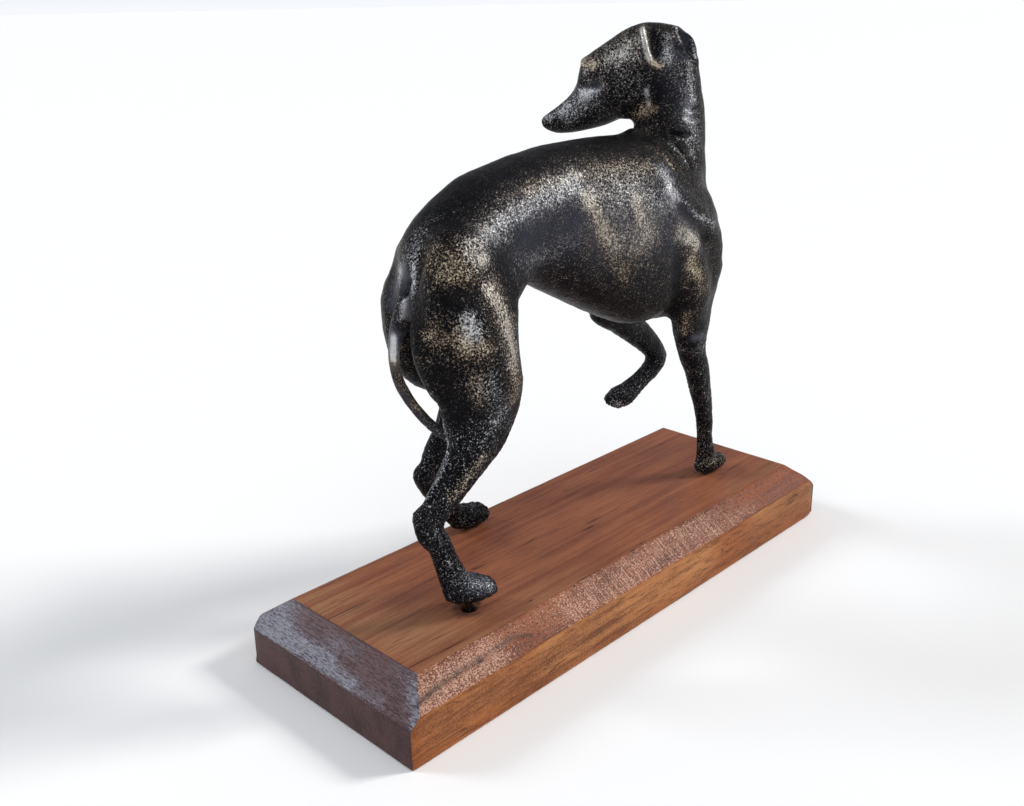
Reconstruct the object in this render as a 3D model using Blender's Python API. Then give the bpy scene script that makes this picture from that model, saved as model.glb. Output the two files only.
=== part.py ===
"""Cast iron greyhound looking back over its shoulder, on a chamfered wooden base.

Units are metres and +Z is up. The origin is the centre of the base's underside, +X is the
way the dog's chest points and +Y is the dog's left.
"""

import math

import bmesh
import bpy
from mathutils import Matrix, Vector

MM = 0.001

# Wooden base
BASE_LENGTH = 220 * MM
BASE_WIDTH = 79 * MM
BASE_THICKNESS = 23 * MM
SIDE_CHAMFER_SETBACK = 9 * MM
SIDE_CHAMFER_DROP = 6.6 * MM
END_CHAMFER_SETBACK = 11 * MM
END_CHAMFER_DROP = 9.7 * MM
EDGE_WEAR = 0.5 * MM

# Mounting stud under the right hind paw
STUD_DIAMETER = 2.3 * MM
STUD_HOLE_GAP = 1.45 * MM
STUD_HOLE_FLOOR = 11 * MM
STUD_FLATS = 16

# Air left between pieces that touch
CLEARANCE = 0.3 * MM

# The figure is drawn on a grid this many units high, from its soles to its crown, and
# every place and girth below is a share of that height.
FIGURE_HEIGHT = 171.4 * MM
GRID_HEIGHT = 171.4
UNIT = FIGURE_HEIGHT / GRID_HEIGHT

# Lift of the right hind paw, the stud's place under it and the flat seat round the stud
PAW_LIFT = 2.4
STUD_PLACE = (-64.7, -15.8)
SEAT_MARGIN = 1.2
SEAT_DEPTH = 3

# How far the left thigh's muscles lie ahead of the right thigh's, and the head's middle plane
LEFT_THIGH_AHEAD = 4
HEAD_MIDDLE = (47, 4, 0)
ACROSS_HEAD = (0.8, 0.6, 0)
ACROSS_DOG = (0, 1, 0)

# Modelling: size of the clay's cells, smoothing of the masses and of the limbs, how many
# radii a carving stroke reaches, and the share of the clay's faces that the casting keeps
CLAY_CELL = 1.0 * UNIT
MASS_SMOOTHING_PASSES = 24
LIMB_SMOOTHING_PASSES = 5
STROKE_REACH = 2.5
FACES_KEPT = 0.075

# Colours, roughness and metallic share
IRON = ("blackened cast iron", (0.045, 0.040, 0.034), 0.45, 0.85)
WOOD = ("varnished reddish wood", (0.30, 0.115, 0.055), 0.38, 0.0)
STEEL = ("dark steel", (0.03, 0.028, 0.026), 0.5, 0.9)


def trunk():
    """Return the stations of the rump, loin, ribs and breast: x, y, z, half width, half depth."""
    return [
        (-62, 1, 100, 9, 9),
        (-56, 1, 105.8, 14, 14),
        (-42, 1, 112.6, 16.5, 16.5),
        (-25, 0, 114.8, 16, 19.3),
        (-5, 0, 112, 18, 25),
        (15, -1, 107.3, 20.5, 30),
        (33, -2, 102.5, 21.5, 33),
        (45, -3, 99, 20, 31),
        (53, -3.8, 96, 16, 23),
        (59, -4.4, 93, 13, 18),
        (62.5, -4.8, 91, 10.5, 13.5),
    ]


def neck():
    """Return the stations of the neck, from the shoulders up to the back of the skull."""
    return [
        (46, -4, 105, 17, 22),
        (49.5, -3, 120, 13.5, 16),
        (53, -1, 132, 11.4, 15),
        (55, 0, 144, 10.2, 12.8),
        (53.8, -0.5, 155, 9.2, 10.6),
        (53, -2, 161.3, 8.2, 9.2),
    ]


def head():
    """Return the stations of the skull and muzzle, from the nape to the nose."""
    return [
        (52.4, -2, 161.6, 8, 9.1),
        (47.3, 4, 159.6, 9.5, 12.4),
        (43, 11, 153.8, 9.5, 13.3),
        (40, 16.5, 149.4, 8.7, 12.8),
        (37.8, 21, 144.4, 6.8, 9.6),
        (35, 26.5, 140.6, 5.2, 7),
        (32, 32, 138.1, 4.2, 5.4),
        (29.5, 36.4, 137.4, 3, 3.3),
    ]


def right_hind_leg():
    """Return the leg that stands on the stud: thigh, second thigh, hock and paw."""
    thigh = [
        (-54, -9, 111, 9, 14),
        (-57.5, -13, 98, 10, 17.5),
        (-58.6, -16, 84, 9.5, 15.6),
        (-57, -17.5, 74, 8.5, 13.7),
        (-56.7, -17, 66, 7.5, 13.2),
        (-59, -17, 58, 6.5, 10.6),
        (-65.4, -17, 50.2, 5.4, 7.4),
        (-72, -16.5, 43.2, 4.4, 6),
        (-77, -16, 38, 3.8, 5.2),
    ]
    pastern = [
        (-81.3, -16, 38, 3.4, 4.2),
        (-79.5, -16, 32, 3.6, 4.6),
        (-76.2, -16, 27.2, 3.4, 4.1),
        (-73.8, -16, 20.6, 3.5, 4.2),
        (-70.8, -16, 13, 4, 5),
    ]
    paw = [
        (-70.2, -16, 9.6, 4.2, 5.2),
        (-66.5, -16.3, 8, 5, 5.2),
        (-61.8, -17, 6.6, 5.6, 4.4),
        (-58.4, -17.5, 5.6, 4.7, 3.4),
    ]
    return [thigh, pastern, paw]


def left_hind_leg():
    """Return the hind leg set further forward, flat on the base."""
    thigh = [
        (-50, 9, 107, 9, 13.7),
        (-51, 13, 93, 9.5, 17.2),
        (-48, 15, 80, 9.5, 17.3),
        (-38, 17, 67, 8, 13),
        (-34, 17, 55, 6.5, 9),
        (-40, 17, 44.5, 5, 6.5),
        (-48, 17, 35.5, 4.2, 5.2),
    ]
    pastern = [
        (-53.3, 17, 32.5, 3.3, 4.1),
        (-49.3, 18.6, 26.5, 3.5, 4.2),
        (-43, 21.6, 18.5, 3.3, 3.8),
        (-36, 24, 11, 3.6, 4.2),
        (-32.5, 24.8, 7, 3.8, 4.2),
    ]
    paw = [
        (-31, 25, 5, 4.2, 4.4),
        (-26, 25, 4.4, 5.4, 4.6),
        (-20.6, 25.2, 3.5, 4.8, 3.7),
    ]
    return [thigh, pastern, paw]


def right_fore_leg():
    """Return the fore leg that stands near the end of the base."""
    arm = [
        (60, -13.5, 88, 6, 9),
        (54.2, -13.3, 76, 6.5, 9.5),
        (54.3, -12.8, 65.5, 6, 8.5),
        (58.1, -11, 54, 5.1, 5.6),
        (61.7, -11, 46.7, 4.6, 5.3),
        (64.2, -11, 38.9, 4.1, 5),
        (66.8, -11, 31.3, 3.5, 4.4),
        (68.7, -11, 23, 3.2, 3.8),
        (69.5, -11, 16, 3.1, 3.5),
        (70.4, -11, 8, 3.5, 3.9),
    ]
    paw = [
        (69, -11, 3.6, 3.6, 3.8),
        (74, -11, 3.8, 4.8, 4),
        (80, -11, 2.8, 4, 3),
    ]
    return [arm, paw]


def left_fore_leg():
    """Return the raised fore leg, its paw folded back under the wrist."""
    arm = [
        (60, 8, 90, 6, 9),
        (47, 11.5, 82, 6.5, 9.5),
        (34, 12, 74.3, 5.5, 8.3),
        (43, 13, 66.3, 5.2, 6.4),
        (56.5, 14, 57, 4.7, 5.6),
        (66, 14, 49, 4.2, 4.8),
        (70.2, 14, 43.6, 4, 4.4),
    ]
    paw = [
        (70, 14, 42, 3.8, 4.2),
        (64, 14, 38.2, 3.7, 3.8),
        (57.5, 14, 35.6, 3.7, 3.6),
        (51, 14, 33.2, 4.8, 4.3),
        (45, 14, 32.6, 4.8, 4.3),
        (41.5, 14, 33, 3.4, 3),
    ]
    return [arm, paw]


def shoulders():
    """Return the shoulder blades and the right upper arm, which stand proud of the ribs."""
    return [
        [(40, -10, 126, 4, 8), (50.8, -14.3, 108, 6, 11), (60, -13.5, 91, 6, 9)],
        [(40, 7, 126, 4, 8), (52, 11, 108, 6, 11), (59, 8, 91, 6, 9)],
        [(40, -15.5, 98, 5, 6), (45, -17, 90, 6, 8.5), (49.5, -16, 80, 6, 8.5), (51.5, -14, 71, 6, 8)],
    ]


def hamstring():
    """Return the right thigh's inner mass, which closes its gap to the tail."""
    return [
        (-68, -7.5, 98, 4.5, 6),
        (-72.2, -10.4, 87, 4.8, 5),
        (-71.1, -11.6, 80, 4.8, 5),
        (-69.2, -12.6, 74.5, 4.6, 4.6),
        (-66.5, -13.6, 69.5, 4.3, 4.3),
        (-65.8, -14.4, 65, 4.3, 4.3),
        (-65.6, -15, 60, 4, 4),
    ]


def breastbone():
    """Return the keel under the deep chest, between the elbows."""
    return [(26, -2, 77.5, 8, 5), (40, -4, 75, 9, 5.5), (53, -6, 76, 8, 6)]


def flank_folds():
    """Return the webs of skin between the belly and the thighs."""
    return [
        [(-44, side * 13, 101, 5, 10), (-35, side * 11.5, 104, 4, 8), (-24, side * 9, 107, 4, 6)]
        for side in (-1, 1)
    ]


def tail():
    """Return the tail, which curls forward and joins the inner side of the right leg."""
    return [
        (-64, 0, 110, 4.5, 4.5),
        (-67.5, 0, 101, 4, 4),
        (-71.7, 0.5, 93, 3.3, 3.3),
        (-74.2, 1, 88, 2.4, 2.4),
        (-75.4, 0.9, 82.5, 2, 2),
        (-75.2, 0.7, 77, 1.95, 1.95),
        (-73, 0.6, 71, 1.95, 1.95),
        (-70.4, -1.4, 65.2, 1.95, 1.95),
        (-68, -4.2, 60.6, 1.9, 1.9),
        (-66, -8, 57.3, 1.8, 1.8),
        (-64.3, -12, 55.8, 1.8, 1.8),
    ]


def ears():
    """Return the rolled rims of the two folded ears, each a loop round a hollow."""
    return [
        [
            (40.8, 2.5, 170, 1.3, 1.3),
            (38.6, 0.8, 166.5, 1.1, 1.5),
            (38.6, -2, 160.5, 1.1, 1.5),
            (40.5, -4.8, 156.6, 1.3, 1.5),
            (43.4, -6.2, 158, 1.1, 1.2),
            (45, -6.8, 163, 0.8, 0.9),
            (45, -4.6, 167.5, 0.6, 0.6),
        ],
        [
            (56.7, 4, 169, 1.3, 1.3),
            (59.8, 1, 167, 1.1, 1.5),
            (61.6, -1, 162.5, 1.1, 1.5),
            (62.9, -2.4, 157.3, 1.2, 1.4),
            (60.8, -6, 156.6, 1.1, 1.2),
            (57.5, -8.5, 161, 1, 1.1),
            (56, -7.5, 166, 1, 1),
        ],
    ]


def head_strokes():
    """Return the head's hollows and bumps, cut on both sides of its middle plane."""
    middle = Vector(HEAD_MIDDLE)
    across = Vector(ACROSS_HEAD)
    left = [
        ((31.9, 19.4, 158.1), (33, 17, 159), 3, 1.0),
        ((30.3, 18.5, 151), (31, 15.5, 151), 2.4, -1.3),
        ((36.5, 8, 149), (38.5, 4, 148), 6, 0.9),
        ((44, 0.5, 152), (41.5, 2, 141), 2.2, -1.2),
        ((32, 24, 142.5), (34, 18, 143.5), 3, -0.5),
    ]
    strokes = []
    for start, end, radius, push in left:
        strokes.append((start, end, radius, push))
        turned = []
        for place in (start, end):
            place = Vector(place)
            offset = (place - middle).dot(across)
            turned.append(tuple(place - 2 * offset * across))
        strokes.append((*turned, radius, push))
    return strokes


def ear_strokes():
    """Return the right ear's hollow and its outer rim, folded back beside the nape."""
    return [
        ((50.3, -6.3, 168), (51.6, -9.2, 161.8), 1.7, -1.5),
        ((53.4, -7.9, 166.5), (55.3, -9.3, 158.8), 1.2, 0.7),
    ]


def neck_strokes():
    """Return the swells of the neck's root, the throat's corner and the neck's right side."""
    return [
        ((26.5, -3, 135.5), (32, -1.5, 135.5), 3, 0.3),
        ((32, -1, 135.5), (39, 2, 136.5), 3.4, 1.9),
        ((40.5, 9, 140.6), (42.3, 6, 139.8), 2.4, 1.5),
        ((62, -6.5, 143), (62.5, -7, 133), 3.6, 0.6),
    ]


def body_strokes():
    """Return the hollows and swellings of the flanks, ribs, shoulders and loins."""
    strokes = []
    for side in (-1, 1):
        strokes += [
            ((-27, side * 15, 110), (-20, side * 16, 104), 10, -1.8),
            ((-12, side * 17, 124), (2, side * 18, 96), 6, -0.7),
            ((22, side * 18 - 2, 125), (29, side * 20 - 2, 110), 6, 0.5),
            ((33, side * 18 - 2, 117.5), (53, side * 17 - 2, 104.5), 2.6, 1.1),
            ((32, side * 19 - 2, 113), (50, side * 20 - 2, 99), 3, -1.4),
            ((31, side * 20 - 2, 106), (45, side * 20 - 2, 94), 3.6, 1.0),
            ((30, side * 21 - 2, 98), (35, side * 20 - 2, 84), 3.4, -1.0),
            ((35, side * 20 - 2, 84), (43, side * 13 - 2, 72), 3.4, -1.0),
            ((56, side * 12 - 3, 118), (60, side * 13 - 3, 104), 4, -1.1),
            ((-40, side * 9, 128), (-10, side * 7, 135), 6, 0.6),
        ]
    return strokes


def thigh_strokes():
    """Return the swellings and hollows of the hind legs' muscles, right and left."""
    right = [
        ((-58, -18, 113), (-62, -18, 111), 6, 1.2),
        ((-65.7, -22.8, 96), (-63, -24, 90), 6.5, 1.2),
        ((-66, -19, 104), (-52, -20, 104), 4, -0.9),
        ((-74, -18, 88), (-69, -20, 66), 4.5, -0.9),
        ((-47, -20, 72), (-46, -18, 66), 4.5, 0.7),
        ((-68, -20, 56), (-76, -19, 44), 2.2, -0.9),
    ]
    strokes = list(right)
    for start, end, radius, push in right:
        turned = [(x + LEFT_THIGH_AHEAD, -y, z) for x, y, z in (start, end)]
        strokes.append((*turned, radius, push))
    return strokes


def on_figure(place):
    """Turn a place on the figure's grid into a place on the base, in metres."""
    return Vector(place) * UNIT + Vector((0, 0, BASE_THICKNESS + CLEARANCE))


def between(before, start, end, after, share):
    """Return the value at a share of the way from start to end on a Catmull-Rom curve."""
    square = share * share
    cube = square * share
    return 0.5 * (
        2 * start
        + (end - before) * share
        + (2 * before - 5 * start + 4 * end - after) * square
        + (3 * start - before - 3 * end + after) * cube
    )


def smooth_run(stations, steps):
    """Draw a smooth curve through stations, whose place and half sizes run together."""
    run = []
    last = len(stations) - 1
    for index in range(last):
        before = stations[max(index - 1, 0)]
        start = stations[index]
        end = stations[index + 1]
        after = stations[min(index + 2, last)]
        for step in range(steps):
            share = step / steps
            run.append([between(*values, share) for values in zip(before, start, end, after)])
    run.append(list(stations[last]))
    return run


def add_limb(mesh, stations, across=ACROSS_DOG, steps=4, sides=20, cap_rings=3):
    """Loft one closed limb with rounded ends through its stations."""
    run = smooth_run(stations, steps)
    centres = [on_figure(row[:3]) for row in run]
    tangents = []
    for index in range(len(run)):
        ahead = centres[min(index + 1, len(run) - 1)]
        behind = centres[max(index - 1, 0)]
        tangents.append((ahead - behind).normalized())

    slices = []
    for ring in range(cap_rings, 0, -1):
        slices.append((0, -1, math.radians(90 * ring / (cap_rings + 1))))
    slices += [(index, 0, 0) for index in range(len(run))]
    for ring in range(1, cap_rings + 1):
        slices.append((len(run) - 1, 1, math.radians(90 * ring / (cap_rings + 1))))

    rings = []
    for index, end, lean in slices:
        half_width, half_depth = (value * UNIT for value in run[index][3:])
        tangent = tangents[index]
        side = Vector(across)
        side = (side - side.dot(tangent) * tangent).normalized()
        up = tangent.cross(side)
        reach = min(half_width, half_depth) * math.sin(lean) * end
        centre = centres[index] + tangent * reach
        ring = []
        for turn in range(sides):
            angle = math.tau * turn / sides
            place = centre + side * half_width * math.cos(lean) * math.cos(angle)
            place += up * half_depth * math.cos(lean) * math.sin(angle)
            ring.append(mesh.verts.new(place))
        rings.append(ring)

    for first, second in zip(rings, rings[1:]):
        for turn in range(sides):
            following = (turn + 1) % sides
            mesh.faces.new((first[turn], first[following], second[following], second[turn]))
    mesh.faces.new(list(reversed(rings[0])))
    mesh.faces.new(rings[-1])


def masses():
    """Model the trunk, neck, head, thighs and shoulders, still separate bodies in one mesh."""
    mesh = bmesh.new()
    add_limb(mesh, trunk(), steps=5, sides=32)
    add_limb(mesh, neck(), steps=4, sides=28)
    add_limb(mesh, head(), across=ACROSS_HEAD, steps=4, sides=28)
    for leg in (right_hind_leg(), left_hind_leg(), right_fore_leg(), left_fore_leg()):
        add_limb(mesh, leg[0], sides=24)
    for limb in [*shoulders(), *flank_folds(), hamstring(), breastbone()]:
        add_limb(mesh, limb)
    return mesh


def add_thin_limbs(mesh):
    """Add the legs and the hamstring again at full girth, the paws, the tail and the ears."""
    for leg in (right_hind_leg(), left_hind_leg(), right_fore_leg(), left_fore_leg()):
        for limb in leg:
            add_limb(mesh, limb)
    add_limb(mesh, hamstring())
    add_limb(mesh, tail(), sides=12)
    for limb in ears():
        add_limb(mesh, limb, sides=12)


def material(finish):
    """Make a Principled material from a name, a colour, a roughness and a metallic share."""
    name, colour, roughness, metallic = finish
    made = bpy.data.materials.new(name)
    made.use_nodes = True
    shader = made.node_tree.nodes["Principled BSDF"]
    shader.inputs["Base Color"].default_value = (*colour, 1)
    shader.inputs["Roughness"].default_value = roughness
    shader.inputs["Metallic"].default_value = metallic
    return made


def add_object(name, mesh, finish=None):
    """Link a bmesh to the scene as a named object and free it."""
    data = bpy.data.meshes.new(name)
    mesh.to_mesh(data)
    mesh.free()
    made = bpy.data.objects.new(name, data)
    bpy.context.scene.collection.objects.link(made)
    if finish:
        data.materials.append(material(finish))
    return made


def fused(made, smoothing):
    """Fuse an object's overlapping bodies into one skin and smooth it."""
    fuse = made.modifiers.new("fuse", "REMESH")
    fuse.mode = "VOXEL"
    fuse.voxel_size = CLAY_CELL
    fuse.adaptivity = 0
    soften = made.modifiers.new("soften", "SMOOTH")
    soften.factor = 0.5
    soften.iterations = smoothing
    depsgraph = bpy.context.evaluated_depsgraph_get()
    data = bpy.data.meshes.new_from_object(made.evaluated_get(depsgraph))
    made.modifiers.clear()
    made.data = data
    return made


def distance_to_stroke(place, start, end):
    """Return how far a place is from the straight stroke between start and end."""
    along = end - start
    share = (place - start).dot(along) / max(along.length_squared, 1e-12)
    return (place - start - along * min(max(share, 0), 1)).length


def carve(made, strokes):
    """Push the skin out or in along its normals near each stroke, fading with distance."""
    vertices = made.data.vertices
    moves = [0.0] * len(vertices)
    for start, end, radius, push in strokes:
        start = on_figure(start)
        end = on_figure(end)
        radius *= UNIT
        for index, vertex in enumerate(vertices):
            away = distance_to_stroke(vertex.co, start, end) / radius
            if away < STROKE_REACH:
                moves[index] += push * UNIT * math.exp(-away * away)
    normals = [vertex.normal.copy() for vertex in vertices]
    for vertex, normal, move in zip(vertices, normals, moves):
        vertex.co += normal * move


def seat_paws(made):
    """Flatten the soles: two paws on the board's plane, and a seat for the stud in the third."""
    board = on_figure((0, 0, 0)).z
    seat = on_figure((*STUD_PLACE, PAW_LIFT))
    reach = STUD_DIAMETER / 2 + SEAT_MARGIN * UNIT
    for vertex in made.data.vertices:
        vertex.co.z = max(vertex.co.z, board)
        under_paw = vertex.co.z < seat.z + SEAT_DEPTH * UNIT
        if under_paw and (vertex.co.xy - seat.xy).length < reach:
            vertex.co.z = seat.z


def cast_dog():
    """Fuse the masses, then the limbs onto them, and thin the faces of the casting."""
    dog = fused(add_object("cast_iron_dog", masses()), MASS_SMOOTHING_PASSES)
    mesh = bmesh.new()
    mesh.from_mesh(dog.data)
    add_thin_limbs(mesh)
    mesh.to_mesh(dog.data)
    mesh.free()
    fused(dog, LIMB_SMOOTHING_PASSES)
    carve(dog, head_strokes() + ear_strokes() + neck_strokes() + body_strokes() + thigh_strokes())
    seat_paws(dog)
    thin = dog.modifiers.new("thin", "DECIMATE")
    thin.ratio = FACES_KEPT
    dog.data.materials.clear()
    dog.data.materials.append(material(IRON))
    dog.data.shade_smooth()
    return dog


def wooden_base():
    """Cut the board's four top chamfers, ease its edges and bore the stud's hole."""
    mesh = bmesh.new()
    bmesh.ops.create_cube(mesh, size=1)
    size = Vector((BASE_LENGTH, BASE_WIDTH, BASE_THICKNESS))
    bmesh.ops.scale(mesh, vec=size, verts=mesh.verts)
    bmesh.ops.translate(mesh, vec=(0, 0, BASE_THICKNESS / 2), verts=mesh.verts)
    chamfers = (
        (Vector((1, 0, 0)), BASE_LENGTH / 2, END_CHAMFER_SETBACK, END_CHAMFER_DROP),
        (Vector((-1, 0, 0)), BASE_LENGTH / 2, END_CHAMFER_SETBACK, END_CHAMFER_DROP),
        (Vector((0, 1, 0)), BASE_WIDTH / 2, SIDE_CHAMFER_SETBACK, SIDE_CHAMFER_DROP),
        (Vector((0, -1, 0)), BASE_WIDTH / 2, SIDE_CHAMFER_SETBACK, SIDE_CHAMFER_DROP),
    )
    for outward, reach, setback, drop in chamfers:
        normal = outward * drop + Vector((0, 0, setback))
        through = outward * reach + Vector((0, 0, BASE_THICKNESS - drop))
        everything = mesh.verts[:] + mesh.edges[:] + mesh.faces[:]
        cut = bmesh.ops.bisect_plane(
            mesh, geom=everything, plane_co=through, plane_no=normal, clear_outer=True
        )
        edges = [item for item in cut["geom_cut"] if isinstance(item, bmesh.types.BMEdge)]
        bmesh.ops.edgeloop_fill(mesh, edges=edges)
    bmesh.ops.bevel(
        mesh, geom=mesh.edges[:], offset=EDGE_WEAR, segments=2, profile=0.5, affect="EDGES"
    )
    bmesh.ops.recalc_face_normals(mesh, faces=mesh.faces)
    base = add_object("wooden_base", mesh, WOOD)

    diameter = STUD_DIAMETER + 2 * STUD_HOLE_GAP
    cutter = stud_shape("stud_hole_cutter", diameter, STUD_HOLE_FLOOR, 2 * BASE_THICKNESS)
    cutter.hide_render = True
    cutter.display_type = "WIRE"
    bore = base.modifiers.new("stud hole", "BOOLEAN")
    bore.operation = "DIFFERENCE"
    bore.object = cutter
    return base


def stud_shape(name, diameter, bottom, top, finish=None):
    """Stand a round bar at the stud's place, between two heights above the base's underside."""
    mesh = bmesh.new()
    middle = Vector((STUD_PLACE[0] * UNIT, STUD_PLACE[1] * UNIT, (bottom + top) / 2))
    bmesh.ops.create_cone(
        mesh,
        cap_ends=True,
        segments=STUD_FLATS,
        radius1=diameter / 2,
        radius2=diameter / 2,
        depth=top - bottom,
        matrix=Matrix.Translation(middle),
    )
    return add_object(name, mesh, finish)


def mounting_stud():
    """Stand the stud in its hole, a clearance above its floor and short of the paw's seat."""
    bottom = STUD_HOLE_FLOOR + CLEARANCE
    top = on_figure((*STUD_PLACE, PAW_LIFT)).z - CLEARANCE
    return stud_shape("mounting_stud", STUD_DIAMETER, bottom, top, STEEL)


def main():
    """Clear the scene and model the three pieces."""
    for old in list(bpy.data.objects):
        bpy.data.objects.remove(old)
    wooden_base()
    mounting_stud()
    cast_dog()


main()
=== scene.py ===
"""Cast iron greyhound on a chamfered wooden base: its skin, finishes, floor, light and camera.

Lengths are metres in the model's frame: +X is the way the dog's chest points, +Y is the dog's
left and +Z is up. The dog's details are placed on the figure's grid, whose unit is a
millimetre and whose floor is the sole of the standing paws.
"""

import logging
import math
from dataclasses import dataclass, field
from enum import Enum
from typing import Any

import bpy
import numpy as np
from mathutils import Matrix, Vector


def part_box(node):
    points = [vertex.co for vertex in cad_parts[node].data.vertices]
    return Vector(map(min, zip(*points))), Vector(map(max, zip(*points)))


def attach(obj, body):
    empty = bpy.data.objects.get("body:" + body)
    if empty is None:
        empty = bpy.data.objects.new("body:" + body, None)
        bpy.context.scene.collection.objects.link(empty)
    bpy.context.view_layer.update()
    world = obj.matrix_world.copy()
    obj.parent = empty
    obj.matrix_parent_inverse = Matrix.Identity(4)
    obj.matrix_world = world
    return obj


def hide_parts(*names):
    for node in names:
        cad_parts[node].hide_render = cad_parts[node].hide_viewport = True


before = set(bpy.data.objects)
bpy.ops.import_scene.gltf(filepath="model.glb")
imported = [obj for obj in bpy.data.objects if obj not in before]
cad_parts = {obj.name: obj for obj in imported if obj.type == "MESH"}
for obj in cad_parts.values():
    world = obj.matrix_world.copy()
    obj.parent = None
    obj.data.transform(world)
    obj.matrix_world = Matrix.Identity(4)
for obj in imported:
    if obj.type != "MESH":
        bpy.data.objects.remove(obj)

log = logging.getLogger("greyhound")

MM = 0.001
SMOOTH_FACTOR = 0.5
WELD = 0.01 * MM
# From none of something to all of it
FULL = (0, 1)

Colour = tuple[float, float, float]
Place = tuple[float, float, float]
Span = tuple[float, float]
Path = tuple[Place, ...]
# A stroke: how much, how wide, and the places that it runs through
Stroke = tuple[float, float, Path]
Socket = bpy.types.NodeSocket


class Body(Enum):
    """The bodies that a piece can ride on."""

    STATUE = "root"


class Node(Enum):
    """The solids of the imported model."""

    DOG = "cast_iron_dog"
    BOARD = "wooden_base"
    STUD = "mounting_stud"


class Finish(Enum):
    """The record's material slots."""

    IRON = "blackened_iron"
    WOOD = "varnished_wood"
    STEEL = "dark_steel"


class Channel(Enum):
    """The layers of patina, painted sheen and painted shade, each in one channel of the skin's attribute."""

    GOLD = 0
    SILVER = 1
    BLACK = 2
    SMOOTH = 3


class Wear(Enum):
    """The board's marks and its painted sheen, each in one channel of its own attribute."""

    FROST_AND_SHEEN = 0
    STAIN = 1
    WARM = 2
    RIPPLE = 3


class Graph:
    """One material's node tree, built node by node."""

    # The middle value of a noise
    MIDDLE = 0.5

    def __init__(self, name: str) -> None:
        """Start a material with one Principled shader.

        Args:
            name: The material's name.
        """
        self.material = bpy.data.materials.new(name)
        self.material.use_nodes = True
        self.tree = self.material.node_tree
        self.shader = self.tree.nodes["Principled BSDF"]

    def add(
        self, kind: str, inputs: dict[Any, Any] | None = None, **settings: Any
    ) -> bpy.types.Node:
        """Add a node, set its options and feed its sockets.

        Args:
            kind: The node's type, without its ShaderNode prefix.
            inputs: A value or an output socket for each named or numbered input.
            settings: The node's own options.

        Returns:
            The new node.
        """
        node = self.tree.nodes.new("ShaderNode" + kind)
        for option, value in settings.items():
            setattr(node, option, value)
        for socket, value in (inputs or {}).items():
            self.feed(node.inputs[socket], value)
        return node

    def feed(self, socket: Socket, value: Any) -> None:
        """Link an output to a socket, or set the socket's value.

        Args:
            socket: The input to feed.
            value: An output socket, a number or a colour.
        """
        if isinstance(value, Socket):
            self.tree.links.new(value, socket)
        elif isinstance(value, tuple) and len(value) == 3 and len(socket.default_value) == 4:
            socket.default_value = (*value, 1)
        else:
            socket.default_value = value

    def place(self, stretch: Place = (1, 1, 1)) -> Socket:
        """Return the object's coordinates, drawn out along each axis.

        Args:
            stretch: How much the pattern is drawn out along each axis.

        Returns:
            The coordinates' socket.
        """
        shown = self.add("TexCoord").outputs["Object"]
        if stretch == (1, 1, 1):
            return shown
        scale = tuple(1 / value for value in stretch)
        return self.add("Mapping", {"Vector": shown, "Scale": scale}).outputs["Vector"]

    def noise(
        self, size: float, detail: float = 2, stretch: Place = (1, 1, 1), twist: float = 0
    ) -> Socket:
        """Return a noise between 0 and 1.

        Args:
            size: The noise's grain in metres.
            detail: Its octaves.
            stretch: How much it is drawn out along each axis.
            twist: How much it is distorted.

        Returns:
            The noise's socket.
        """
        vector = self.place(stretch)
        inputs = {"Vector": vector, "Scale": 1 / size, "Detail": detail, "Distortion": twist}
        return self.add("TexNoise", inputs).outputs["Fac"]

    def math(self, operation: str, first: Any, second: Any = 0.0, clamp: bool = False) -> Socket:
        """Return the result of one Math node, kept between 0 and 1 if clamp is set."""
        inputs = {0: first, 1: second}
        return self.add("Math", inputs, operation=operation, use_clamp=clamp).outputs[0]

    def plus(self, first: Any, second: Any, clamp: bool = False) -> Socket:
        """Return the sum of two values, kept between 0 and 1 if clamp is set."""
        return self.math("ADD", first, second, clamp)

    def minus(self, first: Any, second: Any) -> Socket:
        """Return the first value less the second."""
        return self.math("SUBTRACT", first, second)

    def times(self, first: Any, second: Any) -> Socket:
        """Return the product of two values."""
        return self.math("MULTIPLY", first, second)

    def off_middle(self, noise: Socket) -> Socket:
        """Return how far a noise lies from its middle value."""
        return self.math("ABSOLUTE", self.minus(noise, self.MIDDLE))

    def step(self, value: Any, span: Span, ends: Span = FULL) -> Socket:
        """Return a smooth step from one end to the other as a value crosses a span."""
        names = ("Value", "From Min", "From Max", "To Min", "To Max")
        inputs = dict(zip(names, (value, *span, *ends)))
        return self.add("MapRange", inputs, interpolation_type="SMOOTHSTEP").outputs["Result"]

    def mix(self, share: Any, first: Any, second: Any) -> Socket:
        """Return a mix of two colours, with this share of the second."""
        return self.add("Mix", {0: share, 6: first, 7: second}, data_type="RGBA").outputs[2]

    def blend(self, share: Any, first: Any, second: Any) -> Socket:
        """Return a mix of two values, with this share of the second."""
        return self.add("Mix", {0: share, 2: first, 3: second}, data_type="FLOAT").outputs[0]

    def bump(self, height: Any, depth: float, strength: Any) -> Socket:
        """Return a normal that carries a relief, too fine for the mesh, of a depth in metres."""
        inputs = {"Height": height, "Distance": depth, "Strength": strength}
        return self.add("Bump", inputs).outputs["Normal"]

    def finish(self, **inputs: Any) -> bpy.types.Material:
        """Feed the shader and return the finished material.

        Args:
            inputs: The shader's inputs, with _ for each space.

        Returns:
            The material.
        """
        for name, value in inputs.items():
            self.feed(self.shader.inputs[name.replace("_", " ")], value)
        return self.material


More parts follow.
